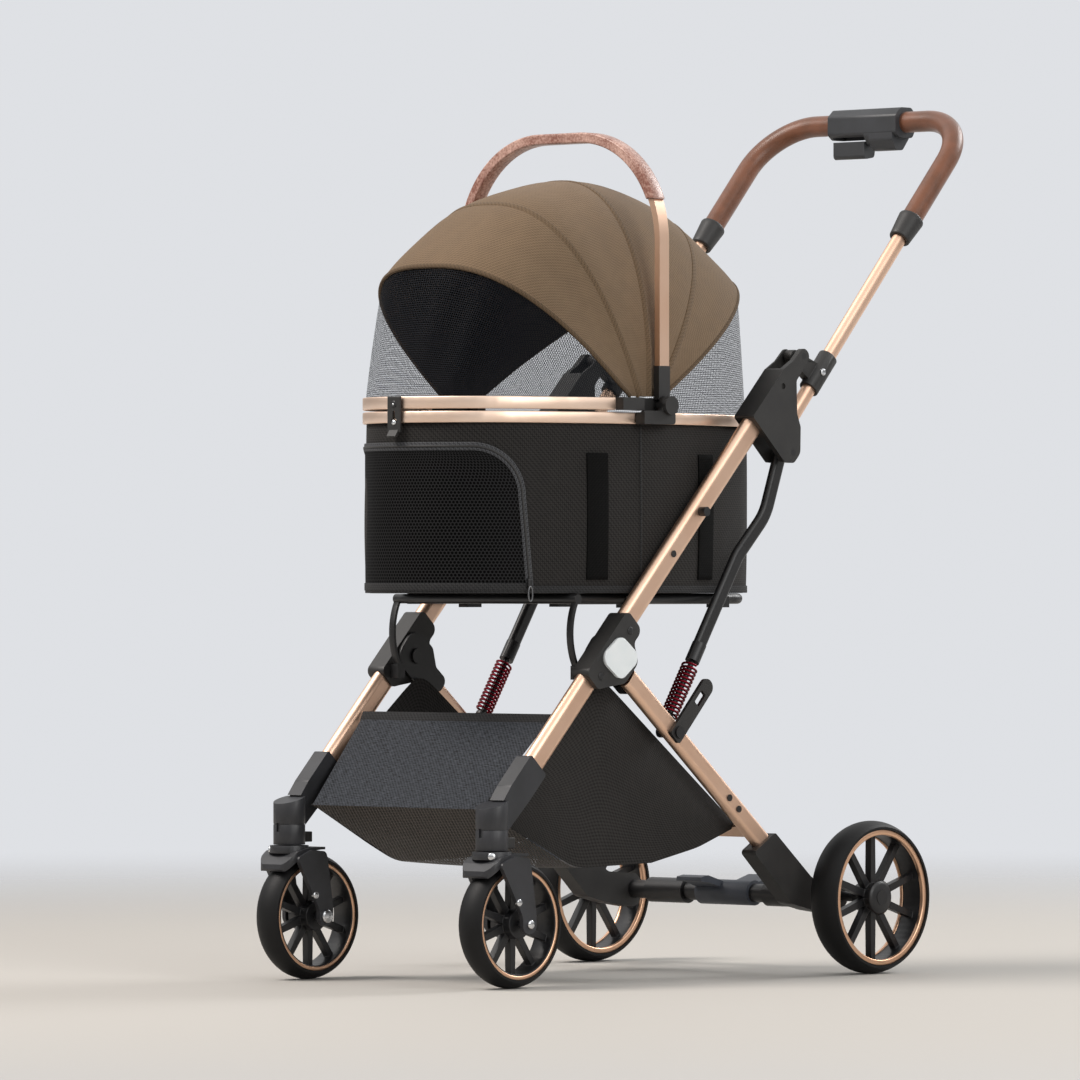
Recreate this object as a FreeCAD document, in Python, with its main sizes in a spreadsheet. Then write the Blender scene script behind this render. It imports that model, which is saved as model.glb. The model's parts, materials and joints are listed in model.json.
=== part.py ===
import FreeCAD, Part
import math
import os
import re
from types import SimpleNamespace

import Sketcher
from FreeCAD import Placement, Rotation, Vector

# Pet stroller: a folding tube frame on two casters and two rear wheels, which carries a
# lift-off cabin with a folding canopy.  Millimetres, +Z up, the front faces -Y and the
# person who pushes it stands behind, at +Y, so left is at +X.  The origin is on the floor
# in the middle of the stroller.  In the sheet, every place along Y is measured back from
# the front wheels' axles and every height from the floor.

SIZES = dict(
    # wheels and axles
    front_wheel_radius=73.5, front_wheel_width=34, front_track=326,
    rear_wheel_radius=90, rear_wheel_width=40, rear_track=451, rear_axle_y=547.7,
    tyre_depth=10, tyre_shoulder=7, rim_wall=6, rim_inset=2, hub_radius=17, hub_width=30,
    spoke_count=10, spoke_width=9, spoke_thickness=9, front_bolt_radius=4, rear_pin_radius=6,
    running_gap=0.05, wheel_side_gap=1.5,
    # casters
    caster_trail=30, socket_radius=18.5, socket_top_z=213, socket_bottom_z=157,
    socket_slope=9, stem_radius=6, swivel_gap=1, fork_half_width=31, fork_arm=5.5,
    fork_crown_half=26.5, fork_neck_radius=22.5, fork_neck_height=9, fork_boss_radius=11,
    fork_tyre_gap=4, fork_front=59, fork_front_z=129, fork_lip=2.5, fork_corner=15,
    socket_groove=23, socket_notch=5,
    lock_width=20, lock_depth=12, lock_lift=5, lock_slot=0.6,
    # main tubes, from the casters up to the fold housings
    main_x="=front_track / 2", main_width=28, main_thickness=16, tube_wall=1.6, main_foot_y=23.4,
    main_foot_z=240.3, main_top_y=433, main_top_z=670.2, fit_gap=0.15, sleeve_wall=3,
    sleeve_foot_grip=18,
    # hubs, where the rear legs pivot
    hub_y=165, hub_z=374, hub_plate=7, hub_inner_plate=3, hub_ear_radius=28,
    hub_sleeve_below=50, hub_sleeve_above=50, hub_cap_size=53, hub_cap_corner=12,
    hub_cap_height=4, hub_bolt_radius=5, plate_gap=0.5,
    # rear legs
    leg_out=2, leg_x="=main_x + leg_out", leg_width=25, leg_thickness=14, leg_angle=-40.15,
    leg_start=36, leg_length=320,
    leg_plate=4, leg_plate_reach=58, leg_plate_width=22, leg_plate_radius=25,
    bracket_grip=30, bracket_wall=4, axle_boss_radius=16,
    axle_radius=11, axle_sleeve_radius=15, axle_sleeve_length=60, axle_sleeve_x=95,
    basket_bar_back=8, basket_bar_distance="=leg_length - basket_bar_back", basket_bar_width=20,
    basket_bar_thickness=6,
    # struts between the housings and the rear legs
    strut_top_in=6, strut_foot_in=13.1, strut_top_x="=main_x - strut_top_in",
    strut_foot_x="=main_x - strut_foot_in", strut_top_y=465, strut_top_z=613, strut_bow_y=443,
    strut_bow_z=540, strut_knee_y=398, strut_knee_z=492, strut_pin_distance=134.6,
    strut_radius=5, strut_half_width=9, strut_bend=60, strut_collar_radius=8.6,
    strut_collar_length=24,
    rod_radius=3.5, rod_inside=122, rod_eye_radius=6.5, rod_eye_thickness=8, cup_radius=7.9,
    cup_offset=18,
    spring_length=72, spring_radius=10.6, spring_wire=1.4, spring_turns=14, strut_pin_radius=4,
    # fold-lock strap
    strap_length=80, strap_width=20, strap_thickness=4.5, strap_angle=47, window_length=18,
    window_width=9,
    # fold housings and the handle
    housing_out=7, housing_in=2.6, housing_grip=38, housing_pin_wall=9.5, housing_reach=15.7,
    housing_inner_x="=main_x - housing_reach",
    hook_y=483.9, hook_z=726.5, hook_radius=8.5, hook_pin_radius=4, arm_reach=10.5,
    arm_thickness=12, arm_in="=main_x - arm_reach", arm_out="=arm_in + arm_thickness",
    handle_inset=2.4, handle_x="=main_x - handle_inset", handle_width=18, handle_thickness=15,
    handle_foot_y=472.5,
    handle_foot_z=645, bar_y=807, bar_z=1019.5, bar_bend=71.5, handle_wall=1.5,
    grip_radius=12.8, grip_start=336, collar_radius=15.5, collar_length=34,
    sleeve_start=58, sleeve_length=52, handle_sleeve_wall=3.4,
    trigger_box_left=54, trigger_box_right=56, trigger_box_step=4, trigger_box_corner=6,
    trigger_width=50, trigger_middle=-24, trigger_depth=22, trigger_drop=22, trigger_travel=8,
    # hoop that carries the cabin
    hoop_z=441.5, hoop_tube_radius=6.2, hoop_bar_radius=5.6, hoop_front_y=130, hoop_rear_y=440,
    hoop_inset=22,
    hoop_bar_inset=2, hoop_half="=cabin_width / 2 - hoop_inset",
    hoop_front_half="=cabin_width / 2 - hoop_bar_inset", hoop_bend=28, stay_width=8,
    stay_thickness=4, stay_bow=10,
    hoop_foot=16, hoop_foot_drop=7,
    # storage basket
    basket_inset=27.5, basket_half="=main_x - basket_inset", basket_wall=2, basket_leg_gap=3,
    basket_front_z=203,
    basket_front_top_z=302, basket_floor_y=100, basket_floor_z=135, basket_low_y=228,
    basket_rear_y=325, basket_rear_z=151, basket_top_y=166, basket_top_z=336,
    basket_rear_top=215, basket_rear_reach=292,
    # cabin
    cabin_y=251.2, cabin_length=532, cabin_side_gap=6,
    cabin_width="=front_track - main_thickness - 2 * cabin_side_gap", cabin_end_radius=125,
    cabin_bottom_z=448,
    cabin_wall=3, board_thickness=4, pad_thickness=24, pad_gap=2,
    rim_z=643.5, rim_height=13.5, rim_thickness=4, rim_proud=4.5, gate_gap=2.5, gate_height=14.5,
    pivot_y=260.7, pivot_z=665.3, pivot_bolt_radius=3.5,
    bracket_front_y=219, bracket_rear_y=268, lug_gap=1.5,
    lug_thickness=6, bracket_lug_in="=carry_x + carry_thickness / 2 + lug_gap",
    bracket_lug_out="=bracket_lug_in + lug_thickness",
    knob_radius=11, knob_height=5, gate_block_front_y=190, gate_block_reach=12.5,
    gate_block_out="=cabin_width / 2 + gate_block_reach",
    gate_eye_thickness=2.2,
    latch_width=20, latch_thickness=2.5, latch_length=40, latch_eye=4.5, latch_slit=4,
    latch_tongue=5, latch_gap=1.2,
    # carry handle
    carry_gap=7.5, carry_x="=cabin_width / 2 + carry_gap", carry_width=16, carry_thickness=8,
    carry_grip_z=905, carry_top_z=980, carry_bend=124, carry_grip_wall=2.2,
    carry_socket_height=46, carry_socket_wall=1.4, carry_eye_radius=8,
    # canopy and nets: shells turned about the pivots, nested from the outside in
    canopy_radius=276.5, canopy_gap=0.3,
    canopy_half="=cabin_width / 2 - canopy_gap", canopy_crown=125, cloth=1.5, nest_gap=0.5,
    canopy_foot=36, rib_angle=1.6, rib_strap=9,
    brim_angle=144.3, seam_one=116.3, seam_two=91.7, seam_three=57, rear_edge=33.6,
    net_rear_foot=-1, net_front_foot=178,
)

doc = FreeCAD.newDocument("pet_stroller")
sheet = doc.addObject("Spreadsheet::Sheet", "Sizes")
for row, alias in enumerate(SIZES, 1):
    sheet.set("A%d" % row, alias)
    sheet.setAlias("B%d" % row, alias)
for row, amount in enumerate(SIZES.values(), 1):
    sheet.set("B%d" % row, str(amount))
doc.recompute()
S = SimpleNamespace(**{alias: float(sheet.get(alias)) for alias in SIZES})

MIDDLE = "((bar_y + grip_radius - front_wheel_radius) / 2)"
middle = (S.bar_y + S.grip_radius - S.front_wheel_radius) / 2
X, Y, Z = Vector(1, 0, 0), Vector(0, 1, 0), Vector(0, 0, 1)
UPRIGHT = Rotation()
ALONG_X = Rotation(Y, 90)

subparts = {}


# ---------------------------------------------------------------- makers

def formula(text):
    """The text with each size's name pointed at its cell."""
    return re.sub(r"[a-z][a-z_]*", lambda w: "Sizes." + w[0] if w[0] in SIZES else w[0], text)


def bind(thing, **rules):
    for name, text in rules.items():
        thing.setExpression(name, formula(text))
    return thing


def place(thing, at, turn=UPRIGHT):
    """Puts a thing at (x, y, z), given as formulas, with y counted from the front axles."""
    thing.Placement = Placement(Vector(), turn)
    for axis, text in zip("xyz", at):
        if axis == "y":
            text = "%s - %s" % (text, MIDDLE)
        thing.setExpression("Placement.Base." + axis, formula(text))
    return thing


def tilt(thing, angle):
    """Turns a placed thing about X by a formula's angle, on top of nothing else."""
    thing.Placement = Placement(thing.Placement.Base, Rotation(X, 1))
    thing.setExpression("Placement.Rotation.Angle", formula(angle))
    return thing


def cylinder(name, radius, length, at, turn=ALONG_X):
    return place(bind(doc.addObject("Part::Cylinder", name), Radius=radius, Height=length), at, turn)


def box(name, across, back, up, at):
    thing = bind(doc.addObject("Part::Box", name), Length=across, Width=back, Height=up)
    return place(thing, at)


def cut(name, base, tool):
    thing = doc.addObject("Part::Cut", name)
    thing.Base, thing.Tool = base, tool
    return thing


def overlap(name, one, two):
    """What two pieces have in common."""
    thing = doc.addObject("Part::MultiCommon", name)
    thing.Shapes = [one, two]
    return thing


def fuse(name, *pieces):
    thing = doc.addObject("Part::MultiFuse", name)
    thing.Shapes = list(pieces)
    thing.Refine = True
    return thing


def group(name, *pieces):
    """Several separate solids that share one node."""
    thing = doc.addObject("Part::Compound", name)
    thing.Links = list(pieces)
    return thing


def mirrored(thing):
    other = doc.addObject("Part::Mirroring", thing.Name + "_mirrored")
    other.Source = thing
    other.Normal = X
    other.Base = Vector()
    return other


def both(name, thing):
    """A piece and its mirror image across the stroller, in one node."""
    return keep(name, group(name, thing, mirrored(thing)))


def each_side(name, thing):
    """A piece for the left and its mirror image for the right, each in a node of its own."""
    keep(name + "_left", thing)
    keep(name + "_right", mirrored(thing))


def keep(name, thing):
    thing.Label = name
    subparts[name] = thing
    return thing


def new_sketch(body, role, offset="0"):
    sketch = body.newObject("Sketcher::SketchObject", body.Name + "_sketch")
    support = next(p for p in body.Origin.OriginFeatures if p.Role == role)
    sketch.AttachmentSupport = [(support, "")]
    sketch.MapMode = "FlatFace"
    sketch.setExpression("AttachmentOffset.Base.z", formula(offset))
    return sketch


def pad(body, sketch, length):
    feature = body.newObject("PartDesign::Pad", body.Name + "_pad")
    feature.Profile = sketch
    bind(feature, Length=length)
    body.Tip = feature
    return feature


def pocket(body, sketch, length, flip=False):
    feature = body.newObject("PartDesign::Pocket", body.Name + "_pocket")
    feature.Profile = sketch
    feature.Reversed = flip
    bind(feature, Length=length)
    body.Tip = feature
    return feature


def revolve(body, sketch, angle="360"):
    feature = body.newObject("PartDesign::Revolution", body.Name + "_turned")
    feature.Profile = sketch
    feature.ReferenceAxis = (sketch, ["H_Axis"])
    bind(feature, Angle=angle)
    body.Tip = feature
    return feature


def circle(sketch, radius):
    """A circle about the sketch's origin whose radius is a formula."""
    index = sketch.addGeometry(Part.Circle(Vector(), Z, 1), False)
    sketch.addConstraint(Sketcher.Constraint("Coincident", index, 3, -1, 1))
    number = sketch.addConstraint(Sketcher.Constraint("Radius", index, 1))
    sketch.setExpression("Constraints[%d]" % number, formula(radius))


def outline(sketch, points, corners=0):
    """A closed outline of straight runs, its corners rounded to one radius or to one each."""
    radii = corners if isinstance(corners, (list, tuple)) else [corners] * len(points)
    points = [Vector(a, b, 0) for a, b in points]
    edges = []
    for i, point in enumerate(points):
        before, after = points[i - 1], points[(i + 1) % len(points)]
        one, two = (before - point), (after - point)
        angle = one.getAngle(two)
        reach = min(radii[i] / math.tan(angle / 2), 0.49 * min(one.Length, two.Length))
        radius = reach * math.tan(angle / 2)
        one.normalize()
        two.normalize()
        start, end = point + one * reach, point + two * reach
        if radius > 0.01 and angle < 3.1:
            half = (one + two).normalize()
            middle_point = point + half * (radius / math.sin(angle / 2) - radius)
            edges.append((start, end, middle_point))
        else:
            edges.append((point, point, None))
    for i, (start, end, through) in enumerate(edges):
        if through is not None:
            sketch.addGeometry(Part.Arc(start, through, end), False)
        follow = edges[(i + 1) % len(edges)][0]
        if (follow - end).Length > 0.01:
            sketch.addGeometry(Part.LineSegment(end, follow), False)


def slot(sketch, width, thickness, middle_x=0, middle_y=0):
    """A flat oval, width along the sketch's Y and thickness along its X."""
    radius, run = thickness / 2, (width - thickness) / 2
    left, right = middle_x - radius, middle_x + radius
    low, high = middle_y - run, middle_y + run
    sketch.addGeometry(Part.LineSegment(Vector(right, low, 0), Vector(right, high, 0)), False)
    sketch.addGeometry(Part.Arc(Vector(right, high, 0), Vector(middle_x, high + radius, 0),
                                Vector(left, high, 0)), False)
    sketch.addGeometry(Part.LineSegment(Vector(left, high, 0), Vector(left, low, 0)), False)
    sketch.addGeometry(Part.Arc(Vector(left, low, 0), Vector(middle_x, low - radius, 0),
                                Vector(right, low, 0)), False)


def oval(sketch, half_length, half_width, end_radius, upper=0.0, lower=None):
    """A four-arc oval, half_length along the sketch's Y.  With lower, only the band between
    this oval and the one inside it by that much, above the height upper, as one outline."""
    def arcs(inset):
        a, b, r = half_length - inset, half_width - inset, end_radius - inset
        side = (a * a + b * b - 2 * a * r) / (2 * (b - r))
        return a, b, r, side, math.atan2(a - r, side - b)
    a, b, r, side, bend = arcs(0)
    turn = math.pi - 2 * bend
    if lower is None:
        for middle_at, radius, start, sweep in (
                (Vector(b - side, 0, 0), side, -bend, 2 * bend),
                (Vector(0, a - r, 0), r, bend, turn),
                (Vector(side - b, 0, 0), side, math.pi - bend, 2 * bend),
                (Vector(0, r - a, 0), r, math.pi + bend, turn)):
            whole = Part.Circle(middle_at, Z, radius)
            sketch.addGeometry(Part.ArcOfCircle(whole, start, start + sweep), False)
        return
    ends = []
    for inset in (0, lower):
        a, b, r, side, bend = arcs(inset)
        low = math.asin(upper / side)
        sketch.addGeometry(Part.ArcOfCircle(Part.Circle(Vector(b - side, 0, 0), Z, side),
                                            low, bend), False)
        sketch.addGeometry(Part.ArcOfCircle(Part.Circle(Vector(0, a - r, 0), Z, r),
                                            bend, math.pi - bend), False)
        sketch.addGeometry(Part.ArcOfCircle(Part.Circle(Vector(side - b, 0, 0), Z, side),
                                            math.pi - bend, math.pi - low), False)
        ends.append(b - side + side * math.cos(low))
    for way in (1, -1):
        sketch.addGeometry(Part.LineSegment(Vector(way * ends[0], upper, 0),
                                            Vector(way * ends[1], upper, 0)), False)


def body_at(name, at, angle=None):
    """A body whose Z runs at an angle above +Y in the side view, or straight up."""
    body = place(doc.addObject("PartDesign::Body", name), at)
    if angle is not None:
        tilt(body, "%s - 90" % angle)
    return body


def frame_point(start, angle, along, across=0):
    """The side-view point so far along a line and so far behind and below it."""
    c, s = math.cos(math.radians(angle)), math.sin(math.radians(angle))
    return start[0] + along * c + across * s, start[1] + along * s - across * c


# directions of the tubes in the side view, as formulas and as numbers
MAIN_ANGLE = "(atan2(main_top_z - main_foot_z; main_top_y - main_foot_y) / 1 deg)"
MAIN_LENGTH = "hypot(main_top_z - main_foot_z; main_top_y - main_foot_y)"
main_angle = math.degrees(math.atan2(S.main_top_z - S.main_foot_z, S.main_top_y - S.main_foot_y))
main_length = math.hypot(S.main_top_z - S.main_foot_z, S.main_top_y - S.main_foot_y)
handle_angle = math.degrees(math.atan2(S.bar_z - S.handle_foot_z, S.bar_y - S.handle_foot_y))
handle_length = math.hypot(S.bar_z - S.handle_foot_z, S.bar_y - S.handle_foot_y)
MAIN_FOOT = ("main_x", "main_foot_y", "main_foot_z")
HUB = ("0", "hub_y", "hub_z")


# ---------------------------------------------------------------- wheels

def make_tyre(name, radius, width, at):
    """A rubber tyre with a rounded tread, turned about its axle."""
    body = body_at(name, at)
    sketch = new_sketch(body, "XY_Plane")
    half, crown = width / 2, radius
    inner, shoulder = radius - S.tyre_depth, radius - S.tyre_shoulder
    corners = [Vector(half, inner, 0), Vector(half, shoulder, 0), Vector(0, crown, 0),
               Vector(-half, shoulder, 0), Vector(-half, inner, 0)]
    sketch.addGeometry(Part.LineSegment(corners[0], corners[1]), False)
    sketch.addGeometry(Part.Arc(corners[1], corners[2], corners[3]), False)
    sketch.addGeometry(Part.LineSegment(corners[3], corners[4]), False)
    sketch.addGeometry(Part.LineSegment(corners[4], corners[0]), False)
    revolve(body, sketch)
    return body


def make_rim(name, radius, width, bore, at):
    """A moulded wheel: hub with a bore, ten spokes and a deep barrel."""
    body = body_at(name, at)
    outer = radius - S.tyre_depth
    hub = new_sketch(body, "XY_Plane")
    half = S.hub_width / 2
    outline(hub, [(-half, bore), (half, bore), (half, S.hub_radius), (-half, S.hub_radius)])
    revolve(body, hub)
    spoke = new_sketch(body, "YZ_Plane", "-spoke_thickness / 2")
    wide, narrow = S.spoke_width / 2, S.spoke_width / 2 * 0.8
    foot, head = S.hub_radius - 1, outer - S.rim_wall + 1
    outline(spoke, [(-wide, foot), (wide, foot), (narrow, head), (-narrow, head)])
    one = pad(body, spoke, "spoke_thickness")
    ring = body.newObject("PartDesign::PolarPattern", name + "_spokes")
    ring.Originals = [one]
    ring.Axis = (spoke, ["N_Axis"])
    ring.Angle = 360
    bind(ring, Occurrences="spoke_count")
    body.Tip = ring
    barrel = new_sketch(body, "XY_Plane")
    half = width / 2 - S.rim_inset
    outline(barrel, [(-half, outer - S.rim_wall), (half, outer - S.rim_wall),
                     (half, outer), (-half, outer)])
    revolve(body, barrel)
    return body


rear_at = ("rear_track / 2", "rear_axle_y", "rear_wheel_radius")
front_at = ("main_x", "0", "front_wheel_radius")
each_side("rear_tyre", make_tyre("rear_tyre", S.rear_wheel_radius, S.rear_wheel_width, rear_at))
each_side("rear_rim", make_rim("rear_rim", S.rear_wheel_radius, S.rear_wheel_width,
                               S.rear_pin_radius + S.running_gap, rear_at))
each_side("front_tyre", make_tyre("front_tyre", S.front_wheel_radius, S.front_wheel_width,
                                  front_at))
each_side("front_rim", make_rim("front_rim", S.front_wheel_radius, S.front_wheel_width,
                                S.front_bolt_radius + S.running_gap, front_at))


# ---------------------------------------------------------------- casters

def make_fork():
    """A crown over the tyre, two raked arms, the axle bolt and the swivel stem."""
    hood = body_at("caster_hood", front_at)
    body = body_at("caster_fork", front_at)
    radius = S.front_wheel_radius
    gap = radius + S.fork_tyre_gap
    top = S.socket_bottom_z - S.swivel_gap - radius
    lip = S.fork_front_z - radius
    back = -S.caster_trail + S.socket_radius + 14
    crown = new_sketch(hood, "YZ_Plane", "-fork_crown_half")
    start = math.atan2(math.sqrt(gap ** 2 - back ** 2), back)
    front_low = math.atan2(lip - S.fork_lip, -math.sqrt(gap ** 2 - (lip - S.fork_lip) ** 2))
    low = Vector(gap * math.cos(front_low), gap * math.sin(front_low), 0)
    high = Vector(gap * math.cos(start), gap * math.sin(start), 0)
    crown.addGeometry(Part.ArcOfCircle(Part.Circle(Vector(), Z, gap), start, front_low), False)
    neck = S.fork_neck_radius
    shape = [low, Vector(-S.fork_front, lip, 0), Vector(-S.fork_front + 0.5, lip + 5.5, 0),
             Vector(-S.caster_trail - neck + 2, top - 13, 0),
             Vector(-S.caster_trail - neck / 2, top - 6.5, 0),
             Vector(-S.caster_trail + neck / 2, top - 2, 0), Vector(back, top - 2, 0), high]
    for one, two in zip(shape, shape[1:]):
        crown.addGeometry(Part.LineSegment(one, two), False)
    pad(hood, crown, "fork_crown_half * 2")
    plan = body_at("caster_hood_plan", front_at)
    seen = new_sketch(plan, "XY_Plane")
    half, corner = S.fork_crown_half, S.fork_corner
    outline(seen, [(-half, -S.fork_front), (half, -S.fork_front), (half, back), (-half, back)],
            [corner, corner, 0, 0])
    pad(plan, seen, "fork_front * 2")
    bolt = new_sketch(body, "YZ_Plane", "-fork_half_width - 2")
    circle(bolt, "front_bolt_radius")
    pad(body, bolt, "fork_half_width * 2 + 4")
    boss = S.fork_boss_radius
    for side in ("-fork_half_width", "fork_half_width - fork_arm"):
        arm = new_sketch(body, "YZ_Plane", side)
        outline(arm, [(-boss, -boss), (boss, -boss), (boss, boss), (back, top - 16),
                      (back - 3, top - 7), (-S.caster_trail + 6, top - 5),
                      (-S.caster_trail - S.socket_radius + 2, top - 14), (-boss, boss * 0.8)],
                [boss * 0.95, boss * 0.95, 12, 5, 8, 12, 4, 20])
        pad(body, arm, "fork_arm")
    stem = cylinder("caster_stem", "stem_radius", "socket_top_z - socket_bottom_z - socket_slope",
                    ("main_x", "-caster_trail", "socket_bottom_z - swivel_gap - 1"),
                    UPRIGHT)
    disc = cylinder("caster_neck", "fork_neck_radius", "fork_neck_height",
                    ("main_x", "-caster_trail",
                     "socket_bottom_z - swivel_gap - fork_neck_height"), UPRIGHT)
    return fuse("fork_with_stem", overlap("caster_crown", hood, plan), body, stem, disc)


def make_socket():
    """The caster's housing: an upright cylinder cut off at a slope, with an arm that
    sleeves the foot of the main tube."""
    tall = "socket_top_z - socket_bottom_z"
    barrel = cylinder("socket_barrel", "socket_radius", tall,
                      ("main_x", "-caster_trail", "socket_bottom_z"), UPRIGHT)
    arm = body_at("socket_arm", MAIN_FOOT, MAIN_ANGLE)
    reach = math.hypot(S.main_foot_y + S.caster_trail, S.main_foot_z - S.socket_bottom_z - 28)
    wide = S.main_width / 2 + S.sleeve_wall
    shape = new_sketch(arm, "YZ_Plane", "-main_thickness / 2 - sleeve_wall")
    outline(shape, [(-wide, S.sleeve_foot_grip), (wide, S.sleeve_foot_grip),
                    (wide, -20), (14, -reach), (-12, -reach), (-wide, -30)],
            [3, 3, 30, 8, 8, 20])
    pad(arm, shape, "main_thickness + 2 * sleeve_wall")
    whole = fuse("socket_whole", barrel, arm)
    slope = body_at("socket_slope_cut", ("main_x", "-caster_trail", "socket_top_z"))
    wedge = new_sketch(slope, "YZ_Plane", "-socket_radius - 1")
    edge = S.socket_radius + 1
    outline(wedge, [(-edge, 1), (-edge, -S.socket_slope), (edge * 0.6, 0), (edge * 0.6, 1)])
    pad(slope, wedge, "2 * socket_radius + 2")
    tube_hole = body_at("socket_tube_hole", MAIN_FOOT, MAIN_ANGLE)
    section = new_sketch(tube_hole, "XY_Plane")
    slot(section, S.main_width + 2 * S.fit_gap, S.main_thickness + 2 * S.fit_gap)
    pad(tube_hole, section, "sleeve_foot_grip + 1")
    bore = cylinder("socket_bore", "stem_radius + running_gap", tall + " - socket_slope + 1",
                    ("main_x", "-caster_trail", "socket_bottom_z - 1"), UPRIGHT)
    lock_slot = box("socket_lock_slot", "lock_width + 2 * lock_slot", "lock_depth + lock_slot",
                    "lock_depth + lock_lift + 2 * lock_slot",
                    ("main_x - lock_width / 2 - lock_slot",
                     "socket_radius - caster_trail - lock_depth / 2",
                     "socket_bottom_z + 2"))
    seam_at = ("main_x", "-caster_trail", "socket_bottom_z + socket_groove")
    seam = cut("socket_seam",
               cylinder("socket_seam_out", "socket_radius + 0.5", "1", seam_at, UPRIGHT),
               cylinder("socket_seam_in", "socket_radius - 0.8", "1", seam_at, UPRIGHT))
    notch = box("socket_notch_cut", "socket_notch", "3", "2 * socket_notch",
                ("main_x - socket_notch / 2", "-caster_trail - socket_radius - 1",
                 "socket_bottom_z + socket_groove - 1.6 * socket_notch"))
    return cut("socket_cut", whole,
               group("socket_cutters", slope, tube_hole, bore, lock_slot,
                     fuse("socket_marks", seam, notch)))


each_side("caster_fork", make_fork())
both("caster_sockets", make_socket())
each_side("caster_lock", box(
    "caster_lock_tab", "lock_width", "lock_depth + 3", "lock_depth",
    ("main_x - lock_width / 2", "socket_radius - caster_trail - lock_depth / 2 + lock_slot",
     "socket_bottom_z + 2 + lock_slot")))


# ---------------------------------------------------------------- main tubes and hubs

def make_tube(name, width, thickness, wall, length, at, angle):
    """A straight flat-oval tube from its foot along its direction."""
    body = body_at(name, at, angle)
    section = new_sketch(body, "XY_Plane")
    slot(section, width, thickness)
    slot(section, width - 2 * wall, thickness - 2 * wall)
    pad(body, section, length)
    return body


main_tube = make_tube("main_tube", S.main_width, S.main_thickness, S.tube_wall,
                      MAIN_LENGTH, MAIN_FOOT, MAIN_ANGLE)
main_hole = cylinder("main_tube_hole", "hub_bolt_radius", "60", ("main_x - 30", "hub_y", "hub_z"))
both("main_tubes", cut("main_tube_cut", main_tube, main_hole))

hub_along = ((S.hub_y - S.main_foot_y) * math.cos(math.radians(main_angle))
             + (S.hub_z - S.main_foot_z) * math.sin(math.radians(main_angle)))
hub_across = ((S.hub_y - S.main_foot_y) * math.sin(math.radians(main_angle))
              - (S.hub_z - S.main_foot_z) * math.cos(math.radians(main_angle)))
HUB_ANGLE_AT = ("main_x", "main_foot_y", "main_foot_z")


def make_hub_sleeve():
    """The clamp round the main tube, with the round ear that the rear leg pivots on."""
    body = body_at("hub_sleeve", HUB_ANGLE_AT, MAIN_ANGLE)
    shape = new_sketch(body, "YZ_Plane", "-main_thickness / 2 - hub_inner_plate")
    wide = S.main_width / 2 + S.sleeve_wall
    low, high = hub_along - S.hub_sleeve_below, hub_along + S.hub_sleeve_above
    ear = hub_across + S.hub_ear_radius
    outline(shape, [(-wide, low), (wide - 7, low), (wide, low + 9.5),
                    (ear, hub_along - S.hub_ear_radius / 2),
                    (ear, hub_along + S.hub_ear_radius * 0.65),
                    (wide, hub_along + S.hub_ear_radius + 2), (wide, high), (-wide, high)],
            [8, 7, 7, 13, 12, 8, 14, 8])
    pad(body, shape, "main_thickness + hub_plate + hub_inner_plate")
    hole = body_at("hub_sleeve_hole", HUB_ANGLE_AT, MAIN_ANGLE)
    section = new_sketch(hole, "XY_Plane")
    slot(section, S.main_width + 2 * S.fit_gap, S.main_thickness + 2 * S.fit_gap)
    pad(hole, section, MAIN_LENGTH)
    bolt = cylinder("hub_bolt_hole", "hub_bolt_radius", "60", ("main_x - 30", "hub_y", "hub_z"))
    return cut("hub_sleeve_cut", body, group("hub_cutters", hole, bolt))


def make_hub_cap():
    """A pale cushion-shaped cap, set on its corner over the pivot."""
    at = ("main_x + main_thickness / 2 + hub_plate", "hub_y", "hub_z")
    body = body_at("hub_cap", at)
    shape = new_sketch(body, "YZ_Plane")
    half = S.hub_cap_size / 2
    outline(shape, [(0, -half), (half * 1.3, 0), (0, half), (-half * 1.3, 0)], S.hub_cap_corner)
    pad(body, shape, "hub_cap_height")
    return body


both("hub_sleeves", make_hub_sleeve())
both("hub_caps", make_hub_cap())


# ---------------------------------------------------------------- rear legs

LEG_AT = ("leg_x", "hub_y + leg_start * cos(leg_angle)", "hub_z + leg_start * sin(leg_angle)")
both("rear_legs", make_tube("rear_leg", S.leg_width, S.leg_thickness, S.tube_wall,
                            "leg_length", LEG_AT, "leg_angle"))


def make_leg_plate():
    """The lobed plate inside each hub, and the block that steps out to the leg."""
    inner = "main_x - main_thickness / 2 - hub_inner_plate - plate_gap - leg_plate"
    body = body_at("leg_plate", ("0", "hub_y", "hub_z"), "leg_angle")
    shape = new_sketch(body, "YZ_Plane", inner)
    r, w = S.leg_plate_radius, S.leg_plate_width / 2
    near = S.leg_plate_reach - 18
    outline(shape, [(-r, -r), (r, -r), (r, r * 0.6), (w, near - 6), (w, S.leg_plate_reach),
                    (-w, S.leg_plate_reach), (-w, near - 6), (-r, r * 0.6)],
            [r * 0.95, r * 0.95, 10, 8, w * 0.9, w * 0.9, 8, 10])
    pad(body, shape, "leg_plate")
    step = new_sketch(body, "YZ_Plane", inner)
    outline(step, [(-w, near), (w, near), (w, S.leg_plate_reach), (-w, S.leg_plate_reach)],
            [2, 2, w * 0.9, w * 0.9])
    pad(body, step, "leg_x - leg_thickness / 2 - (%s)" % inner)
    bore = cylinder("leg_plate_bore", "hub_bolt_radius + running_gap", "60",
                    ("main_x - 50", "hub_y", "hub_z"))
    return cut("leg_plate_cut", body, bore)


both("leg_pivot_plates", make_leg_plate())

leg_end = frame_point((S.hub_y, S.hub_z), S.leg_angle, S.leg_start + S.leg_length)


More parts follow.
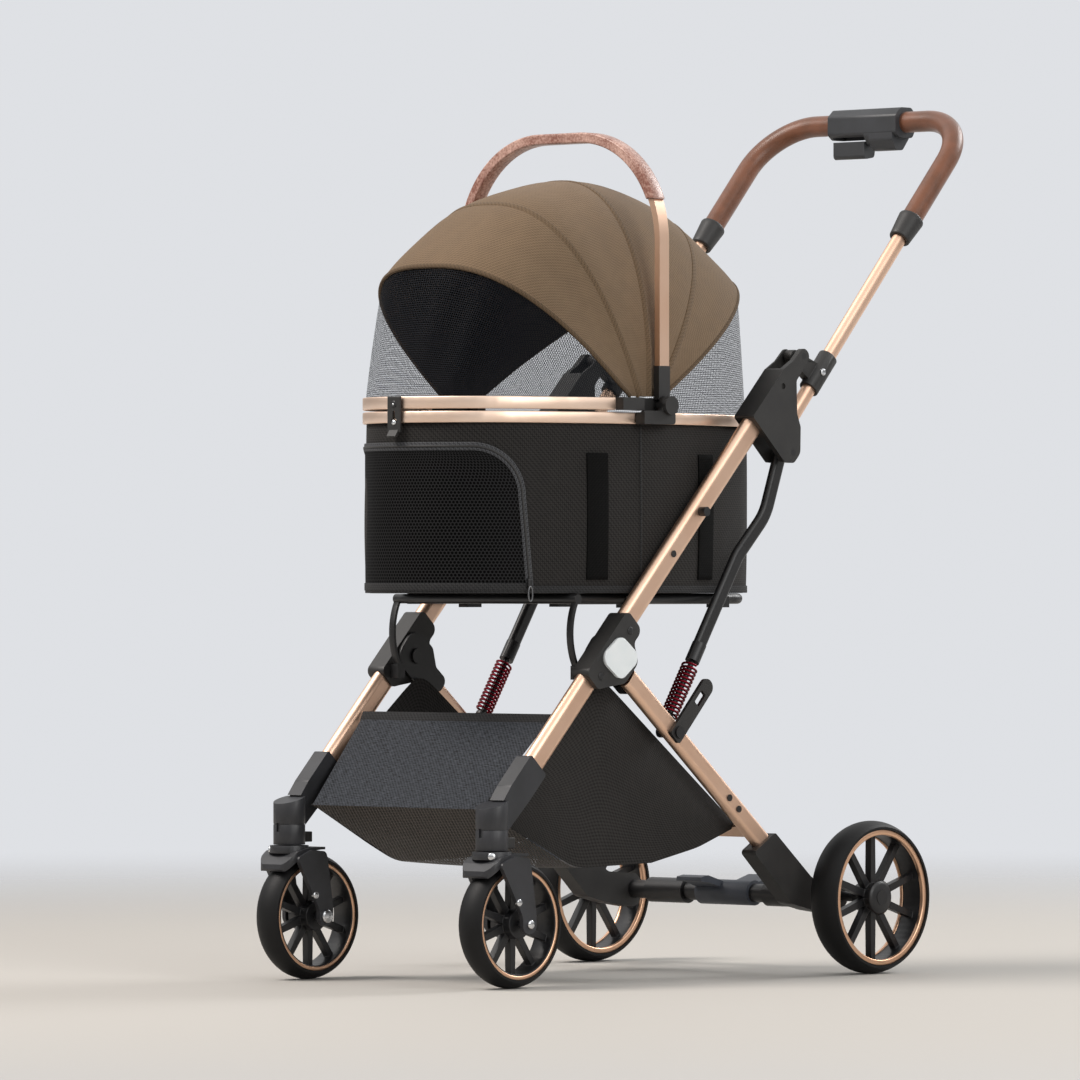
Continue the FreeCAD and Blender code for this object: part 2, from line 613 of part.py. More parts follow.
def make_rear_bracket():
    """The moulding that sleeves the foot of the leg and carries the axle."""
    body = body_at("rear_bracket", LEG_AT, "leg_angle")
    wide, x_half = S.leg_width / 2 + S.bracket_wall, S.leg_thickness / 2 + S.bracket_wall
    c, s = math.cos(math.radians(S.leg_angle)), math.sin(math.radians(S.leg_angle))
    start = frame_point((S.hub_y, S.hub_z), S.leg_angle, S.leg_start)
    to_y, to_z = S.rear_axle_y - start[0], S.rear_wheel_radius - start[1]
    axle_along, axle_across = to_y * c + to_z * s, to_y * s - to_z * c
    r = S.axle_boss_radius
    top = S.leg_length - S.bracket_grip
    shape = new_sketch(body, "YZ_Plane", "-leg_thickness / 2 - bracket_wall")
    outline(shape, [(-wide, top + 14), (wide + 8, top), (wide + 12, axle_along - 58),
                    (wide - 4, axle_along - 26), (axle_across + r, axle_along + r),
                    (axle_across - r, axle_along + r), (axle_across - r, axle_along - 10),
                    (-wide, axle_along - 50)],
            [4, 4, 16, 10, r * 0.9, r * 0.9, 10, 14])
    pad(body, shape, "leg_thickness + 2 * bracket_wall")
    hole = body_at("bracket_leg_hole", LEG_AT, "leg_angle")
    section = new_sketch(hole, "XY_Plane")
    slot(section, S.leg_width + 2 * S.fit_gap, S.leg_thickness + 2 * S.fit_gap)
    pad(hole, section, "leg_length")
    pin = cylinder("bracket_pin_hole", "rear_pin_radius", "80",
                   ("leg_x - 40", "rear_axle_y", "rear_wheel_radius"))
    return cut("bracket_cut", body, group("bracket_cutters", hole, pin))


both("rear_brackets", make_rear_bracket())

BRACKET_IN = "(leg_x - leg_thickness / 2 - bracket_wall)"
AXLE_AT = ("-" + BRACKET_IN, "rear_axle_y", "rear_wheel_radius")
axle_tube = cylinder("axle_tube", "axle_radius", "2 * " + BRACKET_IN, AXLE_AT)
axle_bore = cylinder("axle_bore", "rear_pin_radius", "2 * " + BRACKET_IN, AXLE_AT)
axle_sleeve = cut("axle_sleeve", cylinder(
    "axle_sleeve_out", "axle_sleeve_radius", "axle_sleeve_length",
    ("axle_sleeve_x - axle_sleeve_length / 2", "rear_axle_y", "rear_wheel_radius")),
    cylinder("axle_sleeve_in", "axle_radius", "axle_sleeve_length",
             ("axle_sleeve_x - axle_sleeve_length / 2", "rear_axle_y", "rear_wheel_radius")))
keep("rear_axle", group("rear_axle", cut("axle_hollow", axle_tube, axle_bore), axle_sleeve,
                        mirrored(axle_sleeve)))


def make_wheel_pin():
    """A stub pin through the bracket and the wheel, with a head at its end."""
    start = BRACKET_IN + " - 20"
    end = "(rear_track / 2 + hub_width / 2 + wheel_side_gap / 2)"
    at = (start, "rear_axle_y", "rear_wheel_radius")
    shaft = cylinder("wheel_pin_shaft", "rear_pin_radius", end + " - " + BRACKET_IN + " + 20", at)
    head = cylinder("wheel_pin_head", "rear_pin_radius + 3", "3",
                    (end, "rear_axle_y", "rear_wheel_radius"))
    return fuse("wheel_pin", shaft, head)


both("rear_wheel_pins", make_wheel_pin())


def make_basket_bar():
    """A flat bar from leg to leg that holds the back of the basket."""
    body = body_at("basket_bar", ("0", "hub_y", "hub_z"), "leg_angle")
    shape = new_sketch(body, "YZ_Plane", "-leg_x + leg_thickness / 2")
    half, thick = S.basket_bar_width / 2, S.basket_bar_thickness
    at = S.basket_bar_distance
    outline(shape, [(0, at - half), (thick, at - half), (thick, at + half), (0, at + half)], 1.5)
    pad(body, shape, "2 * leg_x - leg_thickness")
    return body


keep("basket_rear_bar", make_basket_bar())

LEG_OUT = "(leg_x + leg_thickness / 2)"
STRUT_PIN = ("hub_y + strut_pin_distance * cos(leg_angle)",
             "hub_z + strut_pin_distance * sin(leg_angle)")


def make_leg_fasteners():
    """The bolt that the strut and the fold-lock strap turn on, and two plugs in the leg."""
    bolt = fuse("strut_bolt",
                cylinder("strut_bolt_inner", "strut_pin_radius", "2",
                         ("leg_x - leg_thickness / 2 - 2",) + STRUT_PIN),
                cylinder("strut_bolt_plate", "strut_pin_radius + 3", "1",
                         ("leg_x - leg_thickness / 2 - 1",) + STRUT_PIN))
    pieces = [bolt]
    for number, along in enumerate(("255", "276")):
        pieces.append(cylinder("leg_plug_%d" % number, "4", "1.2",
                               (LEG_OUT, "hub_y + %s * cos(leg_angle)" % along,
                                "hub_z + %s * sin(leg_angle)" % along)))
    return pieces + [mirrored(piece) for piece in pieces]


strap_bolt = fuse("strap_bolt",
                  cylinder("strap_bolt_shaft", "strut_pin_radius",
                           "strap_thickness + 2 * plate_gap", (LEG_OUT,) + STRUT_PIN),
                  cylinder("strap_bolt_head", "strut_pin_radius + 3", "2",
                           (LEG_OUT + " + strap_thickness + 2 * plate_gap",) + STRUT_PIN))
keep("leg_fasteners", group("leg_fasteners", strap_bolt, *make_leg_fasteners()))


# ---------------------------------------------------------------- brake and fold-lock strap

def make_brake():
    """A rocker on the middle of the rear axle, with a wing to each side of it."""
    body = body_at("brake_pedal", ("0", "rear_axle_y", "rear_wheel_radius"))
    ring = new_sketch(body, "YZ_Plane", "-42")
    circle(ring, "axle_radius + 4")
    pad(body, ring, "84")
    top = S.axle_radius + 4
    for low, length in (("-42", "40"), ("2", "40")):
        wing = new_sketch(body, "YZ_Plane", low)
        way = -1 if low == "-42" else 1
        points = [(0, top - 4), (way * 34, top + 6), (way * 46, top + 4), (way * 47, top - 1),
                  (way * 30, top - 3), (0, 2)]
        outline(wing, points, [0, 8, 1.5, 1, 6, 0])
        pad(body, wing, length)
    hole = cylinder("brake_hole", "axle_radius + running_gap", "100",
                    ("-50", "rear_axle_y", "rear_wheel_radius"))
    return cut("brake_cut", body, hole)


keep("brake_pedal", make_brake())


def make_strap():
    """A flat lever with a window that catches a stud when the stroller is folded."""
    body = body_at("strap", (LEG_OUT + " + plate_gap",) + STRUT_PIN, "strap_angle")
    shape = new_sketch(body, "YZ_Plane")
    half = S.strap_width / 2
    outline(shape, [(-half, -half), (half, -half), (half, S.strap_length),
                    (-half, S.strap_length)], [4, 4, half * 0.95, half * 0.95])
    pad(body, shape, "strap_thickness")
    window = new_sketch(body, "YZ_Plane", "strap_thickness")
    low, high = S.strap_length - 18 - S.window_length, S.strap_length - 18
    wide = S.window_width / 2
    outline(window, [(-wide, low), (wide, low), (wide, high), (-wide, high)], 1.5)
    pocket(body, window, "strap_thickness")
    hole = cylinder("strap_hole", "strut_pin_radius + running_gap", "strap_thickness + 4",
                    (LEG_OUT + " - 1",) + STRUT_PIN)
    return cut("strap_cut", body, hole)


keep("fold_lock_strap", make_strap())


# ---------------------------------------------------------------- struts

pin_at = frame_point((S.hub_y, S.hub_z), S.leg_angle, S.strut_pin_distance)


def strut_point(y, z):
    """A point of the strut, which leans out a little above its knee."""
    lean = max(0, (z - S.strut_knee_z) / (S.strut_top_z - S.strut_knee_z))
    x = S.strut_foot_x + (S.strut_top_x - S.strut_foot_x) * lean
    return Vector(x, y - middle, z)


def bent_path(points, radii):
    """Straight runs joined by arcs tangent to both."""
    edges, at = [], points[0]
    for before, corner, after, radius in zip(points, points[1:], points[2:], radii):
        one, two = before - corner, after - corner
        angle = one.getAngle(two)
        reach = min(radius / math.tan(angle / 2), 0.48 * min(one.Length, two.Length))
        radius = reach * math.tan(angle / 2)
        one.normalize()
        two.normalize()
        half = (one + two).normalize()
        start, end = corner + one * reach, corner + two * reach
        through = corner + half * (radius / math.sin(angle / 2) - radius)
        if (start - at).Length > 0.01:
            edges.append(Part.makeLine(at, start))
        edges.append(Part.Arc(start, through, end).toShape())
        at = end
    edges.append(Part.makeLine(at, points[-1]))
    return Part.Wire(edges)


def swept(path, section):
    """The solid that a closed section makes along a path."""
    return path.makePipeShell([section], True, False)


def oval_section(at, along, half_wide, half_thin):
    """A flat oval across a direction in the side view, thin along X."""
    across = X.cross(along).normalize()
    run = half_wide - half_thin
    corners = [at + X * half_thin - across * run, at + X * half_thin + across * run,
               at + across * half_wide, at - X * half_thin + across * run,
               at - X * half_thin - across * run, at - across * half_wide]
    return Part.Wire([Part.makeLine(corners[0], corners[1]),
                      Part.Arc(corners[1], corners[2], corners[3]).toShape(),
                      Part.makeLine(corners[3], corners[4]),
                      Part.Arc(corners[4], corners[5], corners[0]).toShape()])


def round_section(at, along, radius):
    return Part.Wire([Part.makeCircle(radius, at, along)])


def feature(name, shape):
    thing = doc.addObject("Part::Feature", name)
    at = shape.Placement
    thing.Shape = shape
    thing.Placement = at
    return thing


rod_way = (strut_point(S.strut_knee_y, S.strut_knee_z) - strut_point(*pin_at)).normalize()
collar_at = strut_point(*pin_at) + rod_way * (S.spring_length + 24)


def make_strut():
    """The bowed outer tube, bored up its straight lower part for the sliding rod."""
    points = [collar_at, strut_point(S.strut_knee_y, S.strut_knee_z),
              strut_point(S.strut_bow_y, S.strut_bow_z),
              strut_point(S.strut_top_y, S.strut_top_z)]
    path = bent_path(points, [S.strut_bend, S.strut_bend])
    solid = swept(path, oval_section(points[0], rod_way, S.strut_half_width, S.strut_radius))
    collar = Part.makeCylinder(S.strut_collar_radius, S.strut_collar_length, collar_at, rod_way)
    head = Part.makeCylinder(S.strut_half_width + 1, 2 * S.strut_radius,
                             points[-1] - X * S.strut_radius, X)
    bore = Part.makeCylinder(S.rod_radius + S.running_gap, S.rod_inside + 4,
                             collar_at - rod_way, rod_way)
    eye = Part.makeCylinder(S.hook_pin_radius + S.running_gap, 40, points[-1] - X * 20, X)
    return solid.fuse([collar, head]).cut([bore, eye]).removeSplitter()


def make_strut_rod():
    """The sliding rod with the eye at its foot and the cup that the spring sits in."""
    foot = strut_point(*pin_at)
    rod = Part.makeCylinder(S.rod_radius, S.spring_length + 23 + S.rod_inside, foot, rod_way)
    eye = Part.makeCylinder(S.rod_eye_radius, S.rod_eye_thickness,
                            foot - X * (S.rod_eye_thickness / 2), X)
    cup = Part.makeCylinder(S.cup_radius, 3, foot + rod_way * S.cup_offset, rod_way)
    return rod.fuse([eye, cup]).removeSplitter()


def make_spring():
    """A closed-end coil round the rod, between the cup and the collar."""
    foot = strut_point(*pin_at) + rod_way * (S.cup_offset + 3 + S.spring_wire)
    mean = S.spring_radius - S.spring_wire
    pitch = (S.spring_length - 4) / S.spring_turns
    helix = Part.makeHelix(pitch, S.spring_length - 4, mean)
    wire = Part.Wire([Part.makeCircle(S.spring_wire, Vector(mean, 0, 0), Y)])
    coil = Part.Wire(helix).makePipeShell([wire], True, True)
    coil.Placement = Placement(foot, Rotation(Z, rod_way))
    return coil


both("struts", feature("strut", make_strut()))
both("strut_rods", feature("strut_rod", make_strut_rod()))
both("strut_springs", feature("strut_spring", make_spring()))


# ---------------------------------------------------------------- fold housings

HOUSING_AT = ("0", "main_foot_y", "main_foot_z")
HOOK = ("hook_y", "hook_z")


def to_main(y, z):
    """A side-view point, as (behind, along) from the foot of the main tube."""
    c, s = math.cos(math.radians(main_angle)), math.sin(math.radians(main_angle))
    dy, dz = y - S.main_foot_y, z - S.main_foot_z
    return dy * s - dz * c, dy * c + dz * s


hook_across, hook_along = to_main(S.hook_y, S.hook_z)
strut_across, strut_along = to_main(S.strut_top_y, S.strut_top_z)


def housing_outline(sketch):
    """Side view of the housing: over the end of the tube, up to the hook, and down round
    the head of the strut."""
    wide = S.main_width / 2 + S.sleeve_wall
    low = main_length - S.housing_grip
    behind, r = strut_across + S.housing_pin_wall, S.hook_radius
    outline(sketch, [(-wide, low), (strut_across - 3, low), (behind, strut_along - 8),
                     (behind, strut_along + 8), (wide * 3, strut_along + 31),
                     (wide * 2.1, strut_along + 38), (hook_across + r + 2, hook_along - 30),
                     (hook_across + r, hook_along + r), (hook_across - r, hook_along + r),
                     (hook_across - r - 1, hook_along - 16), (-wide, hook_along - 36)],
            [3, 4, 8, 12, 6, 6, 6, r * 0.95, r * 0.95, 6, 6])


def make_housing():
    """Two cheeks and a front wall round the tube's end, open behind for the handle."""
    outer = "(main_x + main_thickness / 2 + housing_out)"
    body = body_at("fold_housing", HOUSING_AT, MAIN_ANGLE)
    housing_outline_sketch = new_sketch(body, "YZ_Plane", "housing_inner_x")
    housing_outline(housing_outline_sketch)
    pad(body, housing_outline_sketch, outer + " - housing_inner_x")
    hole = body_at("housing_tube_hole", MAIN_FOOT, MAIN_ANGLE)
    section = new_sketch(hole, "XY_Plane")
    slot(section, S.main_width + 2 * S.fit_gap, S.main_thickness + 2 * S.fit_gap)
    pad(hole, section, MAIN_LENGTH)
    cavity = body_at("housing_cavity", HOUSING_AT, MAIN_ANGLE)
    inside = new_sketch(cavity, "YZ_Plane", "housing_inner_x + housing_in")
    wide = S.main_width / 2
    low = main_length - 2 * S.housing_grip
    outline(inside, [(wide + 4, low), (wide + 4, main_length + 4),
                     (-wide + 6, main_length + 4), (-wide + 6, hook_along - 34),
                     (hook_across - 40, hook_along - 34), (hook_across + 2, hook_along + 60),
                     (hook_across + 80, hook_along), (hook_across + 80, low)],
            [0, 6, 6, 4, 0, 0, 0, 0])
    pad(cavity, inside, outer + " - housing_out - housing_inner_x - housing_in")
    pins = [cylinder("housing_hook_hole", "hook_pin_radius", "60", ("main_x - 30",) + HOOK),
            cylinder("housing_strut_hole", "hook_pin_radius", "60",
                     ("main_x - 30", "strut_top_y", "strut_top_z"))]
    spot = {"a": "(%s + 25)" % MAIN_LENGTH, "t": MAIN_ANGLE}
    dimple = cylinder("housing_dimple", "3.5", "10",
                      (outer + " - 2.5",
                       "main_foot_y + %(a)s * cos(%(t)s) - 3.6 * sin(%(t)s)" % spot,
                       "main_foot_z + %(a)s * sin(%(t)s) + 3.6 * cos(%(t)s)" % spot))
    return cut("housing_cut", body,
               group("housing_cutters", hole, cavity, dimple, *pins))


both("fold_housings", make_housing())


def make_frame_fasteners():
    """The hub bolts, the handle's and the struts' pins, the pegs and the plugs."""
    inner = "(main_x - main_thickness / 2 - hub_inner_plate - plate_gap - leg_plate)"
    hub = fuse("hub_bolt",
               cylinder("hub_bolt_shaft", "hub_bolt_radius",
                        "main_x + main_thickness / 2 + hub_plate - " + inner,
                        (inner, "hub_y", "hub_z")),
               cylinder("hub_bolt_head", "hub_bolt_radius + 4", "2.5",
                        (inner + " - 2.5 - plate_gap", "hub_y", "hub_z")),
               cylinder("hub_bolt_neck", "hub_bolt_radius", "plate_gap + 0.5",
                        (inner + " - plate_gap - 0.2", "hub_y", "hub_z")))
    reach = "(main_x + main_thickness / 2 + housing_out - housing_inner_x)"
    hook = cylinder("hook_pin", "hook_pin_radius", reach, ("housing_inner_x",) + HOOK)
    strut = cylinder("strut_top_pin", "hook_pin_radius", reach,
                     ("housing_inner_x", "strut_top_y", "strut_top_z"))
    out = "main_x + main_thickness / 2"
    peg = cylinder("carrier_peg", "5.5", "10",
                   (out, "main_foot_y + 418 * cos(%s)" % MAIN_ANGLE,
                    "main_foot_z + 418 * sin(%s)" % MAIN_ANGLE))
    plug = cylinder("tube_plug", "4", "1",
                    (out, "main_foot_y + 350 * cos(%s)" % MAIN_ANGLE,
                     "main_foot_z + 350 * sin(%s)" % MAIN_ANGLE))
    pieces = [hub, hook, strut, peg, plug]
    return pieces + [mirrored(piece) for piece in pieces]


keep("frame_fasteners", group("frame_fasteners", *make_frame_fasteners()))


# ---------------------------------------------------------------- handle

def handle_point(x, along):
    y, z = frame_point((S.handle_foot_y, S.handle_foot_z), handle_angle, along)
    return Vector(x, y - middle, z)


def handle_path(start):
    """The U of the handle from one leg over the bar to the other."""
    points = [handle_point(S.handle_x, start), handle_point(S.handle_x, handle_length),
              handle_point(-S.handle_x, handle_length), handle_point(-S.handle_x, start)]
    return bent_path(points, [S.bar_bend, S.bar_bend]), points[0]


handle_way = handle_point(0, 1) - handle_point(0, 0)


def make_handle_bar():
    """One bent tube: flat-sided legs that turn round under the grip."""
    legs = []
    straight = S.grip_start + 8
    for way in (1, -1):
        at = handle_point(way * S.handle_x, 0)
        outer = oval_section(at, handle_way, S.handle_width / 2, S.handle_thickness / 2)
        inner = oval_section(at, handle_way, S.handle_width / 2 - S.handle_wall,
                             S.handle_thickness / 2 - S.handle_wall)
        leg = Part.Face(outer).extrude(handle_way * straight)
        legs.append(leg.cut(Part.Face(inner).extrude(handle_way * (straight - 4))))
    path, start = handle_path(straight)
    core = swept(path, round_section(start, handle_way, S.handle_thickness / 2))
    return core.fuse(legs).removeSplitter()


def make_grip():
    """A leather sleeve over the bent part of the bar."""
    path, start = handle_path(S.grip_start)
    outer = swept(path, round_section(start, handle_way, S.grip_radius))
    hole = swept(path, round_section(start, handle_way, S.handle_width / 2 + S.fit_gap))
    return outer.cut(hole)


def make_collar():
    """A moulded collar, flared towards the grip, where the leather ends."""
    at = handle_point(S.handle_x, S.grip_start - S.collar_length)
    outer = Part.makeCone(S.collar_radius - 2.5, S.collar_radius + 0.5, S.collar_length, at,
                          handle_way)
    section = oval_section(at, handle_way, S.handle_width / 2 + S.fit_gap,
                           S.handle_thickness / 2 + S.fit_gap)
    return outer.cut(Part.Face(section).extrude(handle_way * S.collar_length))


def make_handle_sleeve():
    """The sleeve on the handle's leg and the arm from it to the hook pin."""
    at = handle_point(S.handle_x, S.sleeve_start)
    wall = S.handle_sleeve_wall
    outer = Part.Face(oval_section(at, handle_way, S.handle_width / 2 + wall,
                                   S.handle_thickness / 2 + wall))
    sleeve = outer.extrude(handle_way * S.sleeve_length)
    hook = Vector(0, S.hook_y - middle, S.hook_z)
    low, high = handle_point(0, S.sleeve_start + 8), handle_point(0, S.sleeve_start + 36)
    out = (low - hook).cross(X).normalize()
    r = S.hook_radius - 0.5
    ring = Part.makeCylinder(r, S.arm_out - S.arm_in, hook + X * S.arm_in, X)
    corners = [hook + out * r, hook - out * r, low, high]
    one, two = (corners[0], corners[1])
    if (one - high).Length + (two - low).Length > (two - high).Length + (one - low).Length:
        one, two = two, one
    arm = Part.Face(Part.makePolygon([p + X * S.arm_in for p in (one, high, low, two, one)]))
    arm = arm.extrude(X * (S.arm_out - S.arm_in))
    hole = Part.Face(oval_section(at - handle_way, handle_way, S.handle_width / 2 + S.fit_gap,
                                  S.handle_thickness / 2 + S.fit_gap))
    hole = hole.extrude(handle_way * (S.sleeve_length + 2))
    eye = Part.makeCylinder(S.hook_pin_radius + S.running_gap, 60,
                            hook + X * (S.handle_x - 30), X)
    return sleeve.fuse([ring, arm]).cut([hole, eye]).removeSplitter()


keep("handle_bar", feature("handle_bar", make_handle_bar()))
keep("handle_grip", feature("handle_grip", make_grip()))
both("grip_collars", feature("grip_collar", make_collar()))
both("handle_sleeves", feature("handle_sleeve", make_handle_sleeve()))

BAR = ("bar_y", "bar_z")


def make_trigger_box():
    """The release housing clamped round the middle of the bar: one barrel, with a chin that
    hangs below it beside the lever."""
    body = body_at("trigger_box", ("0",) + BAR)
    barrel = new_sketch(body, "YZ_Plane", "-trigger_box_left")
    outline(barrel, [(-20, -13), (-12, -19), (11, -19), (17, -8), (17, 10), (9, 18),
                     (-10, 18), (-20, 9)], S.trigger_box_corner)
    pad(body, barrel, "trigger_box_left + trigger_box_right")
    for start, low in ((S.trigger_box_step, -27), (S.trigger_box_step + 8, -34)):
        chin = new_sketch(body, "YZ_Plane", str(start))
        outline(chin, [(-19.5, 2), (-19.5, low * 0.6), (-12, low), (0, low), (16, -14), (16, 2)],
                [0, 9, 6, 6, 6, 0])
        pad(body, chin, "trigger_box_right - 6 - " + str(start))
    bar = cylinder("trigger_box_bore", "grip_radius + fit_gap",
                   "trigger_box_left + trigger_box_right", ("-trigger_box_left",) + BAR)
    well = box("trigger_well", "trigger_width + 2 * plate_gap", "trigger_depth + 2 * plate_gap",
               "trigger_drop + trigger_travel",
               ("trigger_middle - trigger_width / 2 - plate_gap",
                "bar_y - trigger_depth / 2 - 4 - plate_gap",
                "bar_z - grip_radius - trigger_drop"))
    return cut("trigger_box_cut", body, group("trigger_box_cutters", bar, well))


def make_trigger():
    """The lever under the housing that the fingers squeeze up."""
    body = body_at("trigger_lever", ("0",) + BAR)
    shape = new_sketch(body, "YZ_Plane", "trigger_middle - trigger_width / 2")
    top = -S.grip_radius - S.trigger_travel - 1
    half = S.trigger_depth / 2
    outline(shape, [(-4 - half, top), (-4 - half, top - S.trigger_drop),
                    (-4 + half * 0.7, top - S.trigger_drop + 3), (-4 + half, top)], [0, 5, 5, 0])
    pad(body, shape, "trigger_width")
    return body


keep("trigger_housing", make_trigger_box())
keep("trigger", make_trigger())


# ---------------------------------------------------------------- hoop and basket

def make_hoop():
    """The bent tube that the cabin rests on, its front cross bar, four saddles and the two
    bowed stays that run down to the hubs."""
    z = S.hoop_z
    def at(x, y, height=z):
        return Vector(x, y - middle, height)
    rails = bent_path([at(S.hoop_half, S.hoop_front_y), at(S.hoop_half, S.hoop_rear_y),
                       at(-S.hoop_half, S.hoop_rear_y), at(-S.hoop_half, S.hoop_front_y)],
                      [S.hoop_bend, S.hoop_bend])
    tube = swept(rails, round_section(at(S.hoop_half, S.hoop_front_y), Y, S.hoop_tube_radius))
    bar = Part.makeCylinder(S.hoop_bar_radius, 2 * S.hoop_front_half,
                            at(-S.hoop_front_half, S.hoop_front_y), X)
    solids = [tube, bar]
    for way in (1, -1):
        stay_x = way * (S.hoop_front_half - S.stay_width / 2)
        hub = at(stay_x, S.hub_y - 34, S.hub_z - 13)
        start = at(stay_x, S.hoop_front_y, z)
        bow = at(stay_x, S.hoop_front_y - S.stay_bow, (z + hub.z) / 2)
        curve = Part.Arc(start, bow, hub).toShape()
        section = Part.Wire([Part.makeLine(*ends) for ends in _rectangle(
            start, X * (S.stay_width / 2), Y * (S.stay_thickness / 2))])
        solids.append(Part.Wire([curve]).makePipeShell([section], True, False))
        pad_x = S.main_x - S.main_thickness / 2 - S.hub_inner_plate
        solids.append(Part.makeBox(pad_x - S.hoop_front_half + S.stay_width, 12, 16,
                                   at(S.hoop_front_half - S.stay_width if way > 0 else -pad_x,
                                      S.hub_y - 40, S.hub_z - 25)))
        for along in (0.3, 0.8):
            y = S.hoop_front_y + (S.hoop_rear_y - S.hoop_front_y) * along
            solids.append(Part.makeBox(S.hoop_foot, S.hoop_foot * 1.4,
                                       S.hoop_tube_radius + S.hoop_foot_drop,
                                       at(way * S.hoop_half - S.hoop_foot / 2, y,
                                          z - S.hoop_tube_radius - S.hoop_foot_drop + 3)))
    return solids[0].fuse(solids[1:]).removeSplitter()


def _rectangle(at, one, two):
    corners = [at + one + two, at - one + two, at - one - two, at + one - two]
    return [(a, b) for a, b in zip(corners, corners[1:] + corners[:1])]


keep("carrier_hoop", feature("carrier_hoop", make_hoop()))


def make_basket():
    """A fabric trough hung between the legs: two side panels, a front, a floor and a back."""
    behind = S.main_width / 2 + S.basket_leg_gap
    c, s = math.cos(math.radians(main_angle)), math.sin(math.radians(main_angle))

    def on_front(z):
        along = (z - S.main_foot_z + behind * c) / s
        return S.main_foot_y + along * c + behind * s, z

    def on_rear(distance):
        return frame_point((S.hub_y, S.hub_z), S.leg_angle, distance,
                           S.leg_width / 2 + S.basket_leg_gap)

    rear = on_rear(S.basket_rear_reach)
    rear_top = on_rear(S.basket_rear_top)
    front = on_front(S.basket_front_z)
    front_top = on_front(S.basket_front_top_z)
    top = (S.basket_top_y + 8, S.basket_top_z - 14)
    outer = [front, (S.basket_floor_y, S.basket_floor_z), (S.basket_low_y, S.basket_floor_z),
             (S.basket_rear_y, S.basket_rear_z), rear, top]
    wall = S.basket_wall
    inner = [(front_top[0] - 30, front_top[1]), (front_top[0] + wall, front_top[1]),
             (front[0] + wall * 1.6, front[1] + wall * 0.4),
             (S.basket_floor_y + wall * 0.5, S.basket_floor_z + wall),
             (S.basket_low_y, S.basket_floor_z + wall),
             (S.basket_rear_y - wall * 0.3, S.basket_rear_z + wall),
             (rear[0] - wall * 1.6, rear[1] + wall * 0.2),
             (rear_top[0] - wall * 1.3, rear_top[1]), (rear_top[0] + 40, rear_top[1] + 40),
             (top[0], top[1] + 60)]
    shell = body_at("basket_shell", ("0", "0", "0"))
    outer_sketch = new_sketch(shell, "YZ_Plane", "-basket_half")
    outline(outer_sketch, outer, [3, 25, 25, 15, 3, 3])
    pad(shell, outer_sketch, "2 * basket_half")
    hollow = body_at("basket_hollow", ("0", "0", "0"))
    inner_sketch = new_sketch(hollow, "YZ_Plane", "-basket_half + basket_wall")
    outline(inner_sketch, inner, [0, 0, 2, 24, 24, 14, 2, 0, 0, 0])
    pad(hollow, inner_sketch, "2 * basket_half - 2 * basket_wall")
    return cut("storage_basket", shell, hollow)


keep("storage_basket", make_basket())


# ---------------------------------------------------------------- cabin

CABIN = ("0", "cabin_y")


def oval_body(name, z, height, outward, inward=None):
    """An upright wall or plate on the cabin's oval, grown or shrunk by so much."""
    body = body_at(name, CABIN + (z,))
    sketch = new_sketch(body, "XY_Plane")
    for grow in (outward, inward):
        if grow is not None:
            oval(sketch, S.cabin_length / 2 + grow, S.cabin_width / 2 + grow,
                 S.cabin_end_radius + grow)
    pad(body, sketch, height)
    return body


def make_shell():
    """The fabric tub: walls on a floor, with the window of the front door."""
    walls = oval_body("cabin_walls", "cabin_bottom_z", "rim_z - cabin_bottom_z", 0)
    hollow = oval_body("cabin_hollow", "cabin_bottom_z + cloth", "rim_z - cabin_bottom_z",
                       -S.cabin_wall)
    return cut("cabin_shell", walls, hollow)


keep("cabin_shell", make_shell())
floor = oval_body("cabin_board", "cabin_bottom_z + cloth", "board_thickness",
                  -S.cabin_wall - S.pad_gap / 2)
keep("cabin_floor", floor)
keep("cabin_pad", oval_body("cabin_pad", "cabin_bottom_z + cloth + board_thickness",
                            "pad_thickness", -S.cabin_wall - S.pad_gap))
keep("lower_rim", oval_body("lower_rim", "rim_z", "rim_height", S.rim_proud,
                            S.rim_proud - S.rim_thickness))

GATE_Z = "rim_z + rim_height + gate_gap"
gate_ring = oval_body("gate_ring", GATE_Z, "gate_height", S.rim_proud,
                      S.rim_proud - S.rim_thickness)
gate_back = box("gate_back", "400", "400", "gate_height + 2",
                ("-200", "gate_block_front_y", GATE_Z + " - 1"))
keep("upper_rim", cut("upper_rim", gate_ring, gate_back))

PIVOT = ("pivot_y", "pivot_z")


